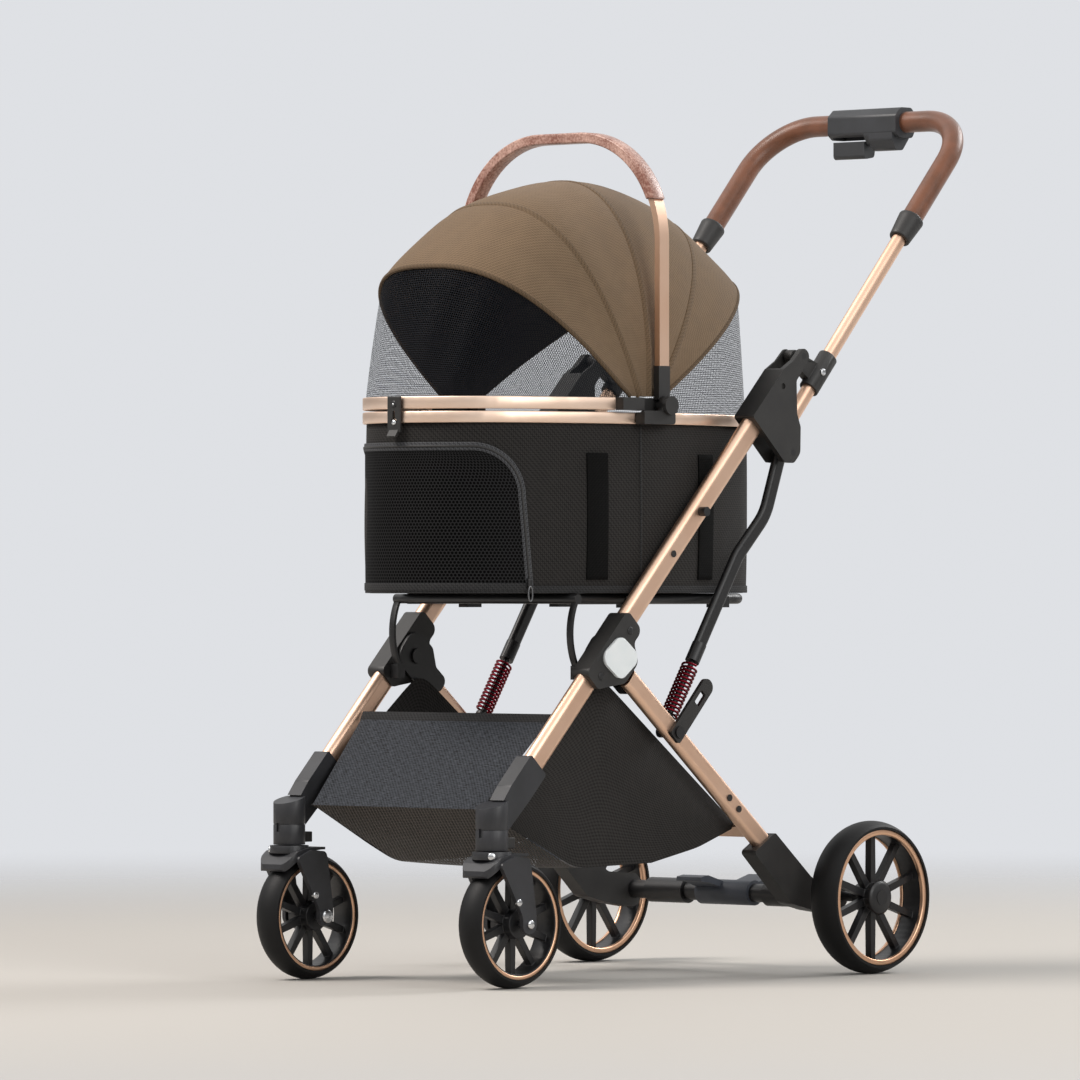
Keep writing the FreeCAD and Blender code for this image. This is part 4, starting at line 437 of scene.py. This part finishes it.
for node in ("main_tubes", "rear_legs", "handle_bar", "carry_handle", "basket_rear_bar"):
    finish_node(node, ROSE_GOLD)
# the rims get the paler copy of the rose gold, painted light
for node in ("lower_rim", "upper_rim"):
    finish_node(node, RIM_GOLD_PAINTED_LIGHT, 0.0012)
for node in ("hub_sleeves", "fold_housings", "handle_sleeves", "rear_brackets",
             "fold_lock_strap", "side_brackets", "gate_hinges", "carry_sockets", "latch"):
    finish_node(node, NYLON, 0.0012)
finish_node("grip_collars", NYLON, 0.0015)
for node in ("leg_pivot_plates", "carrier_hoop"):
    finish_node(node, BLACK_STEEL, 0.0008)
for node in ("struts", "strut_rods", "rear_axle", "rear_wheel_pins", "leg_fasteners",
             "frame_fasteners"):
    finish_node(node, BLACK_STEEL)
finish_node("strut_springs", SPRING_STEEL)
finish_node("brake_pedal", PEDAL_ABS, 0.001)
finish_node("caster_sockets", SOCKET_NYLON, 0.0014)
finish_node("hub_caps", CAP_ABS, 0.0016)
finish_node("trigger_housing", TRIGGER_ABS, 0.0016)
finish_node("trigger", TRIGGER_ABS, 0.0012)
finish_node("handle_grip", GRIP_LEATHER)
finish_node("carry_grip", CARRY_LEATHER, 0.0022)
finish_node("cabin_floor", BOARD)
for side in ("left", "right"):
    finish_node("caster_fork_" + side, SOCKET_NYLON, 0.0014)
    finish_node("caster_lock_" + side, NYLON, 0.001)
    for axle in ("front", "rear"):
        finish_node("%s_tyre_%s" % (axle, side), RUBBER)
        finish_node("%s_rim_%s" % (axle, side), WHEEL_NYLON, 0.001)


# ---------------------------------------------------------------- wheels

def dress_wheel(axle, side, ring_in, ring_out):
    """The gold ring set into each face of the rim."""
    low, high = corners("%s_tyre_%s" % (axle, side))
    face = (high[0] - low[0]) / 2 - 0.0022
    back, lip, crown, edge = face - 0.004, face + 0.0002, face + 0.0008, 0.001
    profile = [(back, ring_in), (lip, ring_in), (crown, ring_in + edge),
               (crown, ring_out - edge), (lip, ring_out), (back, ring_out), (back, ring_in)]
    for way, which in ((-1, "inner"), (1, "outer")):
        ring = turned("%s_ring_%s_%s" % (axle, side, which), profile, (low + high) / 2,
                      (way, 0, 0), GOLD_RING, 96, hollow=True)
        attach(ring, "%s_wheel_%s" % (axle, side))


def cap_hub(side):
    """The domed cap on the +X face of a rear wheel's hub."""
    low, high = corners("rear_tyre_" + side)
    face = 0.0165
    crown = face + 0.0015
    profile = [(0.0, 0.006), (face - 0.002, 0.0205), (face, 0.0185), (crown, 0.015),
               (crown, 0.0001)]
    cap = turned("rear_cap_%s_outer" % side, profile, (low + high) / 2, (1, 0, 0),
                 WHEEL_NYLON, 48)
    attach(cap, "rear_wheel_" + side)


for side in ("left", "right"):
    dress_wheel("rear", side, 0.0735, 0.0800)
    cap_hub(side)
    dress_wheel("front", side, 0.0590, 0.0640)


# ---------------------------------------------------------------- cabin

# the radius of the tub's round ends, and half its width where the rims hold it
END_RADIUS = 0.125
WIDEST_HALF = 0.149


def cabin_plan(turn, grow=0.0):
    """The cabin's oval seen from above, by the direction that its wall faces: two flat side
    arcs and two round ends, each point its arc's middle plus a radius in that direction."""
    long = (SHELL[1][1] - SHELL[0][1]) / 2
    wide = min((SHELL[1][0] - SHELL[0][0]) / 2, WIDEST_HALF)
    side = (long * long + wide * wide - 2 * long * END_RADIUS) / (2 * (wide - END_RADIUS))
    bend = math.atan2(long - END_RADIUS, side - wide)
    cos, sin = np.cos(turn), np.sin(turn)
    flank = np.abs(sin) < math.sin(bend)
    radius = np.where(flank, side, END_RADIUS) + grow
    x = np.where(flank, np.sign(cos) * (wide - side), 0.0) + radius * cos
    y = np.where(flank, 0.0, np.sign(sin) * (long - END_RADIUS)) + radius * sin
    return np.stack([x, CABIN_Y + y], -1)


FINE = np.linspace(-math.pi / 2, 1.5 * math.pi, 4001)
OVAL = cabin_plan(FINE)
REACH = np.concatenate([[0], np.cumsum(np.linalg.norm(np.diff(OVAL, axis=0), axis=1))])


def facing(reach):
    """The direction that the wall faces so far round from the middle of the front."""
    return np.interp(np.mod(reach, REACH[-1]), REACH, FINE)


def on_wall(reach, height, grow=0.0):
    """Points on the cabin's wall, so far round it, so high and so far out."""
    reach, height, grow = np.broadcast_arrays(reach, height, grow)
    turn = facing(reach)
    plan = cabin_plan(turn)
    out = np.stack([np.cos(turn), np.sin(turn)], -1) * grow[..., None]
    return np.concatenate([plan + out, height[..., None]], -1)


FLOOR_Z, RIM_Z = SHELL[0][2], SHELL[1][2]
MIDDLE_POINT = (0, CABIN_Y, (FLOOR_Z + RIM_Z) / 2)


def puff(reach, rise):
    """How far the cloth stands out: a soft belly, and shallow folds that fade to the rims."""
    folds = 0.0007 * np.sin(reach * 31 + 2.5 * rise) + 0.0005 * np.sin(reach * 67 - 4 * rise)
    return (0.0016 + folds) * np.sin(math.pi * np.clip(rise, 0, 1)) ** 0.7


def make_cabin_wall():
    """The cloth wall: the oval carried up from a rolled bottom edge, with its floor."""
    reach = np.linspace(0, REACH[-1], 360, endpoint=False)[None, :]
    rise = np.linspace(0, 1, 26)[:, None]
    height = FLOOR_Z + 0.003 + rise * (RIM_Z - FLOOR_Z - 0.003)
    walls = on_wall(reach, height, puff(reach, rise))
    floor = [on_wall(reach, FLOOR_Z, -inset) for inset in (0.09, 0.03, 0.004)]
    piece = surface("cabin_wall", np.concatenate([*floor, walls]), CABIN_TWILL,
                    around=True, inside=MIDDLE_POINT)
    solid = piece.modifiers.new("cloth", "SOLIDIFY")
    solid.thickness, solid.offset = 0.0018, -1
    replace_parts(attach(piece, "carrier"), "cabin_shell")


def strip(name, reach, height, grow, width, thick, material):
    """A flat tape on the wall along a line of (reach, height) points."""
    path = on_wall(reach, height, grow)
    turn = facing(reach)
    outward = np.stack([np.cos(turn), np.sin(turn), np.zeros_like(turn)], -1)
    piece = surface(name, swept(path, rounded_box(width, thick, thick * 0.45, 4), outward),
                    material, around=True, closed=True)
    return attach(piece, "carrier")


# the door's outline: how far round the wall its sides run above and at the foot, its top's
# height and its corners' radius
DOOR_HALF, DOOR_FOOT, DOOR_TOP, DOOR_CORNER = 0.151, 0.162, RIM_Z - 0.027, 0.058


def door_edge():
    """One side of the door's outline as (reach, height): up the side, which leans in, and
    round the top corner to the middle of the top."""
    turn = np.linspace(0, math.pi / 2, 40)
    corner = np.stack([DOOR_HALF - DOOR_CORNER + DOOR_CORNER * np.cos(turn),
                       DOOR_TOP - DOOR_CORNER + DOOR_CORNER * np.sin(turn)], -1)
    foot = np.linspace(0, 1, 24, endpoint=False)[:, None]
    side = np.array([DOOR_FOOT, FLOOR_Z + 0.004]) * (1 - foot) + corner[0] * foot
    top = np.linspace(0, 1, 24)[1:, None]
    across = corner[-1] * (1 - top) + np.array([0.0, DOOR_TOP]) * top
    return np.concatenate([side, corner, across])


def make_door():
    """The mesh door at the front: a panel that fills the outline, row by row, its zip tape,
    the row of teeth and the hem under it."""
    edge = door_edge()
    height = np.linspace(FLOOR_Z + 0.0065, DOOR_TOP, 40)
    up = np.maximum.accumulate(edge[:, 1])
    half = np.interp(height, up + np.arange(len(up)) * 1e-9, edge[:, 0])
    share = np.linspace(-1, 1, 90)[None, :]
    rise = ((height - FLOOR_Z) / (RIM_Z - FLOOR_Z))[:, None]
    reach = half[:, None] * share
    panel = on_wall(reach, height[:, None], puff(reach, rise) + 0.0010)
    piece = surface("door_mesh", panel, DOOR_MESH, inside=MIDDLE_POINT)
    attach(piece, "carrier")
    line = np.concatenate([edge, (edge * [-1, 1])[::-1][1:]])
    rise = (line[:, 1] - FLOOR_Z) / (RIM_Z - FLOOR_Z)
    stand = puff(line[:, 0], rise)
    strip("door_zip_tape", line[:, 0], line[:, 1], stand + 0.0012, 0.0095, 0.0016, ZIP_TAPE)
    strip("door_zip_teeth", line[:, 0], line[:, 1], stand + 0.0024, 0.0022, 0.0016, NYLON)
    foot = np.linspace(-DOOR_FOOT, DOOR_FOOT, 90)
    strip("door_hem", foot, np.full_like(foot, FLOOR_Z + 0.0075), 0.0016, 0.009, 0.0018,
          HEM_TAPE)


def make_zip_pull():
    """The slider at the foot of the zip's left side, and the wire loop that hangs from it."""
    at = on_wall(DOOR_FOOT - 0.002, FLOOR_Z + 0.012, 0.0045)
    up = np.array([0, 0, 1.0])
    body = swept(at + np.linspace(-0.005, 0.005, 6)[:, None] * up,
                 rounded_box(0.006, 0.004, 0.0015), (1.0, -0.2, 0))
    slider = surface("zip_slider", body, BLACK_STEEL, around=True, closed=True)
    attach(slider, "carrier")
    turn = np.linspace(0, 2 * math.pi, 33)[:, None]
    out = np.array([np.cos(facing(DOOR_FOOT)), np.sin(facing(DOOR_FOOT)), 0])
    side = np.cross(up, out)
    loop = (at + out * 0.002 - up * 0.0125 + np.cos(turn) * side * 0.0026
            + np.sin(turn) * 0.0085 * up)
    tab = surface("zip_pull", swept(loop, rounded_box(0.0018, 0.0018, 0.0008, 3), out),
                  ZIP_METAL, around=True)
    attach(tab, "carrier")


def upright(name, way, y, foot, head, points, stand, width, thick, material):
    """A tape that runs straight up one side of the wall, at a place y along the cabin."""
    near = np.argmin(np.abs(OVAL[:, 1] - y) + (OVAL[:, 0] < 0.05) * 9)
    reach = REACH[near] if way > 0 else REACH[-1] - REACH[near]
    height = np.linspace(FLOOR_Z + foot, RIM_Z - head, points)
    rise = (height - FLOOR_Z) / (RIM_Z - FLOOR_Z)
    strip(name, np.full_like(height, reach), height, puff(reach, rise) + stand, width, thick,
          material)


def make_trims():
    """The fastening strips and side seams of the wall, and the tape round its foot."""
    round_it = np.linspace(0, REACH[-1], 300)
    strip("foot_tape", round_it, np.full_like(round_it, FLOOR_Z + 0.0045), 0.0009, 0.0085,
          0.0014, HEM_TAPE)
    for way, name in ((1, "left"), (-1, "right")):
        for number, back in enumerate((-0.0865, 0.0995)):
            upright("loop_strip_%s_%d" % (name, number), way, CABIN_Y + back, 0.016, 0.034, 30,
                    0.0012, 0.031, 0.0018, VELCRO)
        upright("side_seam_" + name, way, CABIN_Y - 0.019, 0.004, 0.001, 40, 0.0004, 0.0028,
                0.0014, HEM_TAPE)


make_cabin_wall()
make_door()
make_zip_pull()
make_trims()


# the furthest that air pushes the cushion's cloth out
PAD_SWELL = 0.006


def make_pad():
    """The floor cushion: the oval filled in rings, crowned on top and pulled in at its
    sides, then swollen as cloth with air in it."""
    low, high = corners("cabin_pad")
    edge = cabin_plan(np.linspace(0, 2 * math.pi, 160, endpoint=False), -0.012)
    middle = np.array([0, CABIN_Y])
    rings = []
    for share, height in ((0.02, 0.98), (0.3, 0.98), (0.6, 0.96), (0.85, 0.9), (0.95, 0.8),
                          (0.99, 0.55), (0.95, 0.2), (0.85, 0.05), (0.5, 0.02), (0.02, 0.02)):
        ring = middle + (edge - middle) * share
        z = low[2] + (high[2] - low[2]) * (0.1 + 0.75 * height)
        rings.append(np.concatenate([ring, np.full((len(ring), 1), z)], -1))
    piece = surface("cabin_cushion", np.array(rings), PAD_CLOTH, around=True, closed=True)
    remesh = piece.modifiers.new("remesh", "REMESH")
    remesh.mode, remesh.voxel_size = "VOXEL", 0.006
    rounded = piece.evaluated_get(bpy.context.evaluated_depsgraph_get())
    piece.data = bpy.data.meshes.new_from_object(rounded)
    piece.modifiers.clear()
    piece.data.materials.clear()
    piece.data.materials.append(PAD_CLOTH)
    start = np.array([v.co for v in piece.data.vertices])
    cloth = piece.modifiers.new("air", "CLOTH")
    cloth.settings.use_pressure = True
    cloth.settings.uniform_pressure_force = 4
    cloth.settings.effector_weights.gravity = 0
    for step in range(1, 21):
        bpy.context.scene.frame_set(step)
    shaped = piece.evaluated_get(bpy.context.evaluated_depsgraph_get())
    moved = np.array([v.co for v in shaped.data.vertices]) - start
    piece.modifiers.remove(cloth)
    bpy.context.scene.frame_set(1)
    far = np.linalg.norm(moved, axis=1, keepdims=True)
    moved *= np.minimum(1, PAD_SWELL / np.maximum(far, 1e-9))
    start = start + moved
    start[:, 2] = np.clip(start[:, 2], low[2] + 0.0005, high[2] + 0.004)
    piece.data.vertices.foreach_set("co", start.astype(np.float32).ravel())
    smooth = piece.modifiers.new("round", "SUBSURF")
    smooth.levels = smooth.render_levels = 1
    piece.data.polygons.foreach_set("use_smooth", [True] * len(piece.data.polygons))
    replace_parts(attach(piece, "carrier"), "cabin_pad")


make_pad()


# ---------------------------------------------------------------- canopy

# each rib: its angle about the pivots, its reach at the top, its half-width, how square its
# arch is, and how far behind the pivots its feet are
RIBS = [dict(angle=145.3, reach=0.2810, half=0.1500, square=2.7, foot=-0.046),
        dict(angle=119.0, reach=0.2680, half=0.1495, square=2.5, foot=-0.030),
        dict(angle=91.6, reach=0.2650, half=0.1490, square=2.25, foot=-0.014),
        dict(angle=55.8, reach=0.2710, half=0.1488, square=2.1, foot=-0.002),
        dict(angle=33.5, reach=0.2880, half=0.1495, square=2.3, foot=0.007)]
BODIES = ["canopy_brim", "canopy_front_bow", "canopy_middle_bow", "canopy_rear_bow", "carrier"]
FOOT_RISE = 0.0105


def rib_values(place):
    """The ribs' values at any place between them, 0 at the brim and 4 at the rear edge."""
    at = np.arange(len(RIBS))
    return {key: np.interp(place, at, [rib[key] for rib in RIBS]) for key in RIBS[0]}


def on_canopy(place, turn, inward=0.0):
    """A point of the canopy: in the plane from a rib's feet to its top, x is a power of the
    turn's cosine and the climb the same power of its sine, so the arch is a squared oval.
    Between two ribs the cloth dips a little."""
    place, turn = np.broadcast_arrays(place, turn)
    rib = rib_values(place)
    angle, power = np.radians(rib["angle"]), 2 / rib["square"]
    cos, sin = np.cos(turn), np.sin(turn)
    dip = 0.010 * np.sin(math.pi * np.mod(place, 1)) ** 2
    climb = np.abs(sin) ** power * (1 - dip - inward / rib["reach"])
    x = np.sign(cos) * np.abs(cos) ** power * (rib["half"] - inward) * (1 - 0.6 * dip)
    top_y, top_z = rib["reach"] * np.cos(angle), rib["reach"] * np.sin(angle)
    y = PIVOT[1] + rib["foot"] + climb * (top_y - rib["foot"])
    z = PIVOT[2] + FOOT_RISE + climb * (top_z - FOOT_RISE)
    return np.stack([x, y, z], -1)


def spread_turns(count):
    """Turns from one foot of an arch to the other, closer together near the feet."""
    return math.pi * (0.5 - 0.5 * np.cos(np.linspace(0, math.pi, count)))


def sheet_size(grid):
    """A grid's mean width, its greatest depth and its area, none of it stretched."""
    down = np.linalg.norm(np.diff(grid, axis=0), axis=2)
    across = np.linalg.norm(np.diff(grid, axis=1), axis=2)
    width, depth = lengths(grid, 1)[-1], float(down.sum(axis=0).max())
    return width, depth, min(float((across[:-1] * down[:, :-1]).sum()), width * depth)


# a point under the canopy, and how far inside the khaki cloth the lining lies
INNER = tuple(PIVOT + (0, 0, 0.05))
LINING_GAP = 0.0046


def make_canopy():
    """Four khaki panels and their black lining, each bent between the ribs that hold it,
    with a welt along every rib, its khaki darkened as painted shade, and a dark binding along
    the brim."""
    turn = spread_turns(110)
    for i in range(4):
        place = np.linspace(i, i + 1, 30)[:, None]
        for name, inward, material, slot in (
                ("canopy_cloth_%d", 0.0, CANOPY_TWILL, "khaki_fabric"),
                ("canopy_lining_%d", LINING_GAP, LINING, "dark_fabric")):
            grid = on_canopy(place, turn, inward)
            piece = surface(name % (i + 1), grid, material, inside=INNER)
            width, depth, area = sheet_size(grid)
            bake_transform(piece)
            if inward == 0:
                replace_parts(piece, "canopy_panel_%d" % (i + 1))
    for i in range(5):
        path = on_canopy(float(i), turn, 0.001)
        outward = (path - PIVOT) * (0.8, 1, 1)
        # the welts' darker khaki is painted shade; the binding's dark tape is its own colour
        width, material = (0.0052, CANOPY_BINDING) if i in (0, 4) else (0.0085, CANOPY_WELT_PAINTED_SHADE)
        welt = surface("canopy_welt_%d" % (i + 1),
                       swept(path, rounded_box(width, 0.0042, 0.0019), outward), material,
                       around=True, closed=True)
        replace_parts(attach(welt, BODIES[i]), "canopy_rib_%d" % (i + 1))


# how many points a net has from side to side, and how far its waves stand out
NET_ACROSS = 120
NET_WAVE = 0.0018


def make_net(name, rib, turns, height, body, node):
    """A net stretched from a rib down to the rim: straight lines between matching points of
    both, pushed in and out by upright waves that die away at the two edges."""
    top = on_canopy(float(rib), spread_turns(NET_ACROSS), 0.002)
    foot = np.concatenate([cabin_plan(turns, 0.0005), np.full((NET_ACROSS, 1), height)], -1)
    share = np.linspace(0, 1, 30)[:, None, None]
    grid = foot[None] * (1 - share) + top[None] * share
    out = grid - PIVOT
    out /= np.linalg.norm(out, axis=2, keepdims=True)
    waves = np.sin(np.linspace(0, 22 * math.pi, NET_ACROSS))[None, :, None]
    ends = np.sin(np.linspace(0, math.pi, NET_ACROSS))[None, :, None]
    grid = grid + out * NET_WAVE * waves * np.sqrt(np.sin(math.pi * share).clip(0)) * ends
    piece = surface(name, grid, NET, inside=INNER)
    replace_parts(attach(piece, body), node)
    return piece


def rim_directions(start_y, rear):
    """The directions the rim faces from one side, round one end of the cabin, to the other,
    evenly spaced along it, from where it passes start_y."""
    behind, left = OVAL[:, 1] > start_y, OVAL[:, 0] > 0
    first = REACH[np.argmax(behind & left)]
    last = REACH[-1 - np.argmax((behind & (OVAL[:, 0] < 0))[::-1])] if rear else -first
    return facing(np.linspace(first, last, NET_ACROSS))


make_canopy()
front_net = make_net("net_front_cloth", 0, rim_directions(PIVOT[1] - 0.05, False),
                     UPPER_RIM[1][2] - 0.002, "gate", "net_front")
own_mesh(front_net)
make_net("net_rear_cloth", 4, rim_directions(PIVOT[1] + 0.004, True),
         LOWER_RIM[1][2] - 0.002, "carrier", "net_rear")


# ---------------------------------------------------------------- basket

# half the basket's width between its sides, and below its corners seen from the side
BASKET_HALF = 0.1430


def from_hub(y, z):
    """A side-view point so far behind and above the hubs."""
    return np.array([HUB[1] + y, HUB[2] + z])


FRONT_FOOT, FRONT_TOP = from_hub(-0.184, -0.171), from_hub(-0.086, -0.0695)
FLOOR_FRONT, FLOOR_REAR = from_hub(-0.037, -0.2415), from_hub(0.092, -0.2385)
REAR_FOOT, REAR_TOP = from_hub(0.172, -0.2225), from_hub(0.240, -0.199)
APEX = from_hub(0.001, -0.018)


def eased(points, count):
    """A smooth side-view line through a few points, by its running length."""
    points = np.array(points)
    at = np.concatenate([[0], np.cumsum(np.linalg.norm(np.diff(points, axis=0), axis=1))])
    line = np.stack([np.interp(np.linspace(0, at[-1], count), at, points[:, k])
                     for k in (0, 1)], -1)
    for _ in range(int(count / 10)):
        line[1:-1] = (line[:-2] + 2 * line[1:-1] + line[2:]) / 4
    return line


def hang(piece):
    """Bakes a basket panel's placing into its mesh: cloth held between the main tubes and the
    rear legs, which part as the frame folds.  Its cut width is the panel's own, a twentieth
    over."""
    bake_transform(piece)


def basket_side(name, way):
    """A side of twill: lines from the curved lower edge to the upper one, bowed outward a
    little and drawn in at the front."""
    lower = eased([FRONT_FOOT, FLOOR_FRONT, FLOOR_REAR, REAR_FOOT, REAR_TOP], 60)
    upper = eased([FRONT_FOOT, APEX, REAR_TOP], 60)
    share = np.linspace(0, 1, 24)[:, None, None]
    flat = lower * (1 - share) + upper * share
    x = way * (BASKET_HALF + 0.004 * np.sin(math.pi * share)
               - 0.008 * np.clip((FRONT_TOP[0] - flat[..., :1]) / 0.1, 0, 1))
    piece = surface(name, np.concatenate([x, flat], -1), BASKET_TWILL,
                    inside=(0, HUB[1], 0.22))
    hang(piece)
    return piece


def basket_panel(name, points, count, material, sag, foot=1.0, top=1.0):
    """A panel across the basket along a side-view line, sagging in its middle, with its two
    ends so many times as wide as the basket."""
    line = eased(points, count)
    x = np.linspace(-BASKET_HALF, BASKET_HALF, 60)[None, :]
    drop = (sag * np.sin(math.pi * np.linspace(0, 1, count))[:, None]
            * np.cos(x / BASKET_HALF * math.pi / 2))
    spread = np.linspace(foot, top, count)[:, None]
    grid = np.stack(np.broadcast_arrays(x * spread, line[:, :1], line[:, 1:] - drop), -1)
    hang(surface(name, grid, material, inside=(0, HUB[1], 0.26)))


def make_basket():
    """The basket hung between the legs: a slub front and back, two twill sides, a floor of
    open mesh, and a tape with two snaps along the front's top edge."""
    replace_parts(basket_side("basket_side_left", 1), "storage_basket")
    basket_side("basket_side_right", -1)
    basket_panel("basket_front", [FRONT_FOOT, FRONT_TOP], 30, BASKET_SLUB,
                 0.003, 0.95, 1.055)
    basket_panel("basket_floor", [FRONT_FOOT, FLOOR_FRONT, FLOOR_REAR], 40, BASKET_MESH,
                 0.003, 0.95)
    basket_panel("basket_back", [FLOOR_REAR, REAR_FOOT, REAR_TOP], 30, BASKET_SLUB,
                 0.002)
    x = np.linspace(-1.06, 1.06, 40)[:, None] * BASKET_HALF
    path = np.concatenate([x, np.broadcast_to(FRONT_TOP, (40, 2))], -1)
    tape = surface("basket_top_tape", swept(path, rounded_box(0.0035, 0.012, 0.0015),
                                            (0, 0.5, 1.0)), HEM_TAPE, around=True, closed=True)
    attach(tape, "frame")
    dome = [(0, 0.0001), (0, 0.0062), (0.0015, 0.0062), (0.0028, 0.0045), (0.0028, 0.0001)]
    for way, name in ((1, "left"), (-1, "right")):
        spot = (way * 0.118, FRONT_TOP[0] - 0.006, FRONT_TOP[1] - 0.013)
        snap = turned("basket_snap_" + name, dome, spot, (0, -0.72, 0.69), NYLON)
        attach(snap, "frame")


make_basket()


# ---------------------------------------------------------------- small fittings

def stud(name, spot, axis, radius, height, material, body, root=0.0005):
    """A round head that stands on a face, with its edge rounded off and its root sunk in."""
    profile = [(-root, 0.0001), (-root, radius), (height * 0.5, radius),
               (height, radius * 0.8), (height, 0.0001)]
    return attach(turned(name, profile, spot, axis, material), body)


def caster_studs(way, side):
    """The axle's two ends, a rivet over each, and the button on the neck of a caster."""
    body = "caster_" + side
    low, high = corners("caster_fork_" + side)
    axle = joint_at("front_wheel_spin_" + side)
    for end, edge, out in (("a", low[0], -1), ("b", high[0], 1)):
        broad = 0.0078 if out * way < 0 else 0.0050
        stud("axle_end_%s_%s" % (side, end), (edge, axle[1], axle[2]), (out, 0, 0), broad,
             0.0018, SILVER, body, root=0.0030)
        stud("arm_rivet_%s_%s" % (side, end),
             (edge - out * 0.002, axle[1] - 0.017, axle[2] + 0.025), (out, 0, 0), 0.0042,
             0.0012, SILVER, body, root=0.0025)
    out = np.array([way * 0.69, -0.72, 0.0])
    spot = joint_at("caster_swivel_" + side) * (1, 1, 0) + out * 0.0220
    spot[2] = corners("caster_sockets")[0][2] - 0.0062
    stud("neck_button_" + side, spot, out, 0.0046, 0.0022, SILVER, body)


def make_fittings():
    """The bright bolt ends at the casters, and the screws of the sleeves and the latch."""
    for way, side in ((1, "left"), (-1, "right")):
        caster_studs(way, side)
        low, high = corners("handle_sleeves")
        spot = low + (high - low) * (1, 0.62, 0.52)
        stud("handle_screw_" + side, spot * (way, 1, 1), (way, 0, 0), 0.0042, 0.0012, SILVER,
             "handle")
        face = way * corners("hub_sleeves")[1][0]
        for number, (back, up) in enumerate(((0.0190, 0.0310), (-0.0300, -0.0210))):
            stud("hub_screw_%s_%d" % (side, number), (face, HUB[1] + back, HUB[2] + up),
                 (way, 0, 0), 0.0045, 0.0009, BLACK_STEEL, "frame")
    top, front = corners("latch")[1][2], LOWER_RIM[0][1]
    ahead = (0, -1, 0)
    stud("latch_rivet", (0, front - 0.0034, top - 0.0090), ahead, 0.0042, 0.0012, BLACK_STEEL,
         "latch")
    stud("latch_rivet_end", (0, front - 0.0046, top - 0.0090), ahead, 0.0013, 0.0006, SILVER,
         "latch")
    stud("latch_stud", (0, front + 0.0005, top - 0.0300), ahead, 0.0032, 0.0052, SILVER,
         "carrier")


make_fittings()


# ---------------------------------------------------------------- stage, light and camera

def make_floor():
    """A pale floor that fades away with distance, so that it meets the backdrop softly."""
    material, tree, shader = new_material("studio_floor", Base_Color=paint("#c6c2bc"),
                                          Roughness=0.7)
    where = add(tree, "ShaderNodeTexCoord").outputs["Object"]
    away = add(tree, "ShaderNodeVectorMath", {"operation": "LENGTH"}, _0=where)
    fade = add(tree, "ShaderNodeMapRange", {"interpolation_type": "SMOOTHSTEP"},
               Value=away.outputs["Value"], From_Min=1.1, From_Max=4.5)
    clear = add(tree, "ShaderNodeBsdfTransparent")
    faded = add(tree, "ShaderNodeMixShader", _0=fade.outputs["Result"],
                _1=shader.outputs[0], _2=clear.outputs[0])
    tree.links.new(faded.outputs[0], tree.nodes["Material Output"].inputs["Surface"])
    side = np.linspace(-6, 6, 3)
    grid = np.stack([*np.meshgrid(side, side, indexing="ij"), np.zeros((3, 3))], -1)
    surface("studio_floor", grid, material)


REFLECTED_BANDS = ((0.44, "#f2f2f2"), (0.52, "#6c6a69"), (0.62, "#b5b4b4"), (0.78, "#ffffff"))


def make_room():
    """A pale backdrop that the camera sees, soft even light, and for reflections a bright
    ceiling and a bright floor with a darker band between them at eye level."""
    world = bpy.data.worlds.new("studio")
    bpy.context.scene.world = world
    world.use_nodes = True
    tree = world.node_tree
    tree.nodes.clear()
    way_out = add(tree, "ShaderNodeTexCoord").outputs["Generated"]
    height = add(tree, "ShaderNodeSeparateXYZ", _0=way_out).outputs[2]
    share = add(tree, "ShaderNodeMapRange", Value=height, From_Min=-1.0, From_Max=1.0)
    bands = add(tree, "ShaderNodeValToRGB", Fac=share.outputs["Result"])
    stops = bands.color_ramp.elements
    stops[0].color, stops[1].color = paint("#c8c4be"), paint("#ffffff")
    for place, colour in REFLECTED_BANDS:
        stops.new(place).color = paint(colour)
    soft = add(tree, "ShaderNodeBackground", Color=paint("#ebebeb"), Strength=0.36)
    mirror = add(tree, "ShaderNodeBackground", Color=bands.outputs["Color"], Strength=1.02)
    pale = add(tree, "ShaderNodeBackground", Color=paint("#e4e6ea"), Strength=0.95)
    ray = add(tree, "ShaderNodeLightPath").outputs
    lit = add(tree, "ShaderNodeMixShader", _0=ray["Is Glossy Ray"], _1=soft.outputs[0],
              _2=mirror.outputs[0])
    seen = add(tree, "ShaderNodeMixShader", _0=ray["Is Camera Ray"], _1=lit.outputs[0],
               _2=pale.outputs[0])
    add(tree, "ShaderNodeOutputWorld", Surface=seen.outputs[0])


def lamp(name, at, aim, size, power, colour="#ffffff"):
    """A round soft light that faces a point."""
    light = bpy.data.lights.new(name, "AREA")
    light.shape, light.size, light.energy = "DISK", size, power
    light.color = paint(colour)[:3]
    holder = bpy.data.objects.new(name, light)
    bpy.context.scene.collection.objects.link(holder)
    holder.location = at
    holder.rotation_euler = (Vector(aim) - Vector(at)).to_track_quat("-Z", "Y").to_euler()


def make_camera():
    """A long lens from the front left, low and far away."""
    camera = bpy.data.objects.new("camera", bpy.data.cameras.new("camera"))
    bpy.context.scene.collection.objects.link(camera)
    camera.data.sensor_width = 36
    camera.data.lens = 273.788
    camera.data.clip_end = 200
    camera.location = (6.61384795, -7.10020148, 0.46676274)
    aim = Vector((0.11003, -0.2684, 0.50937))
    camera.rotation_euler = (aim - camera.location).to_track_quat("-Z", "Y").to_euler()
    bpy.context.scene.camera = camera


make_floor()
make_room()
lamp("key", (-1.4, -2.2, 3.6), (0, 0, 0.5), 2.0, 135, "#fff8f2")
lamp("fill", (3.8, -0.6, 2.0), (0, 0, 0.6), 2.6, 60, "#fffefc")
lamp("rim", (0.6, 3.4, 2.6), (0, 0, 0.7), 1.8, 80)
make_camera()
bpy.context.scene.view_settings.view_transform = "Standard"
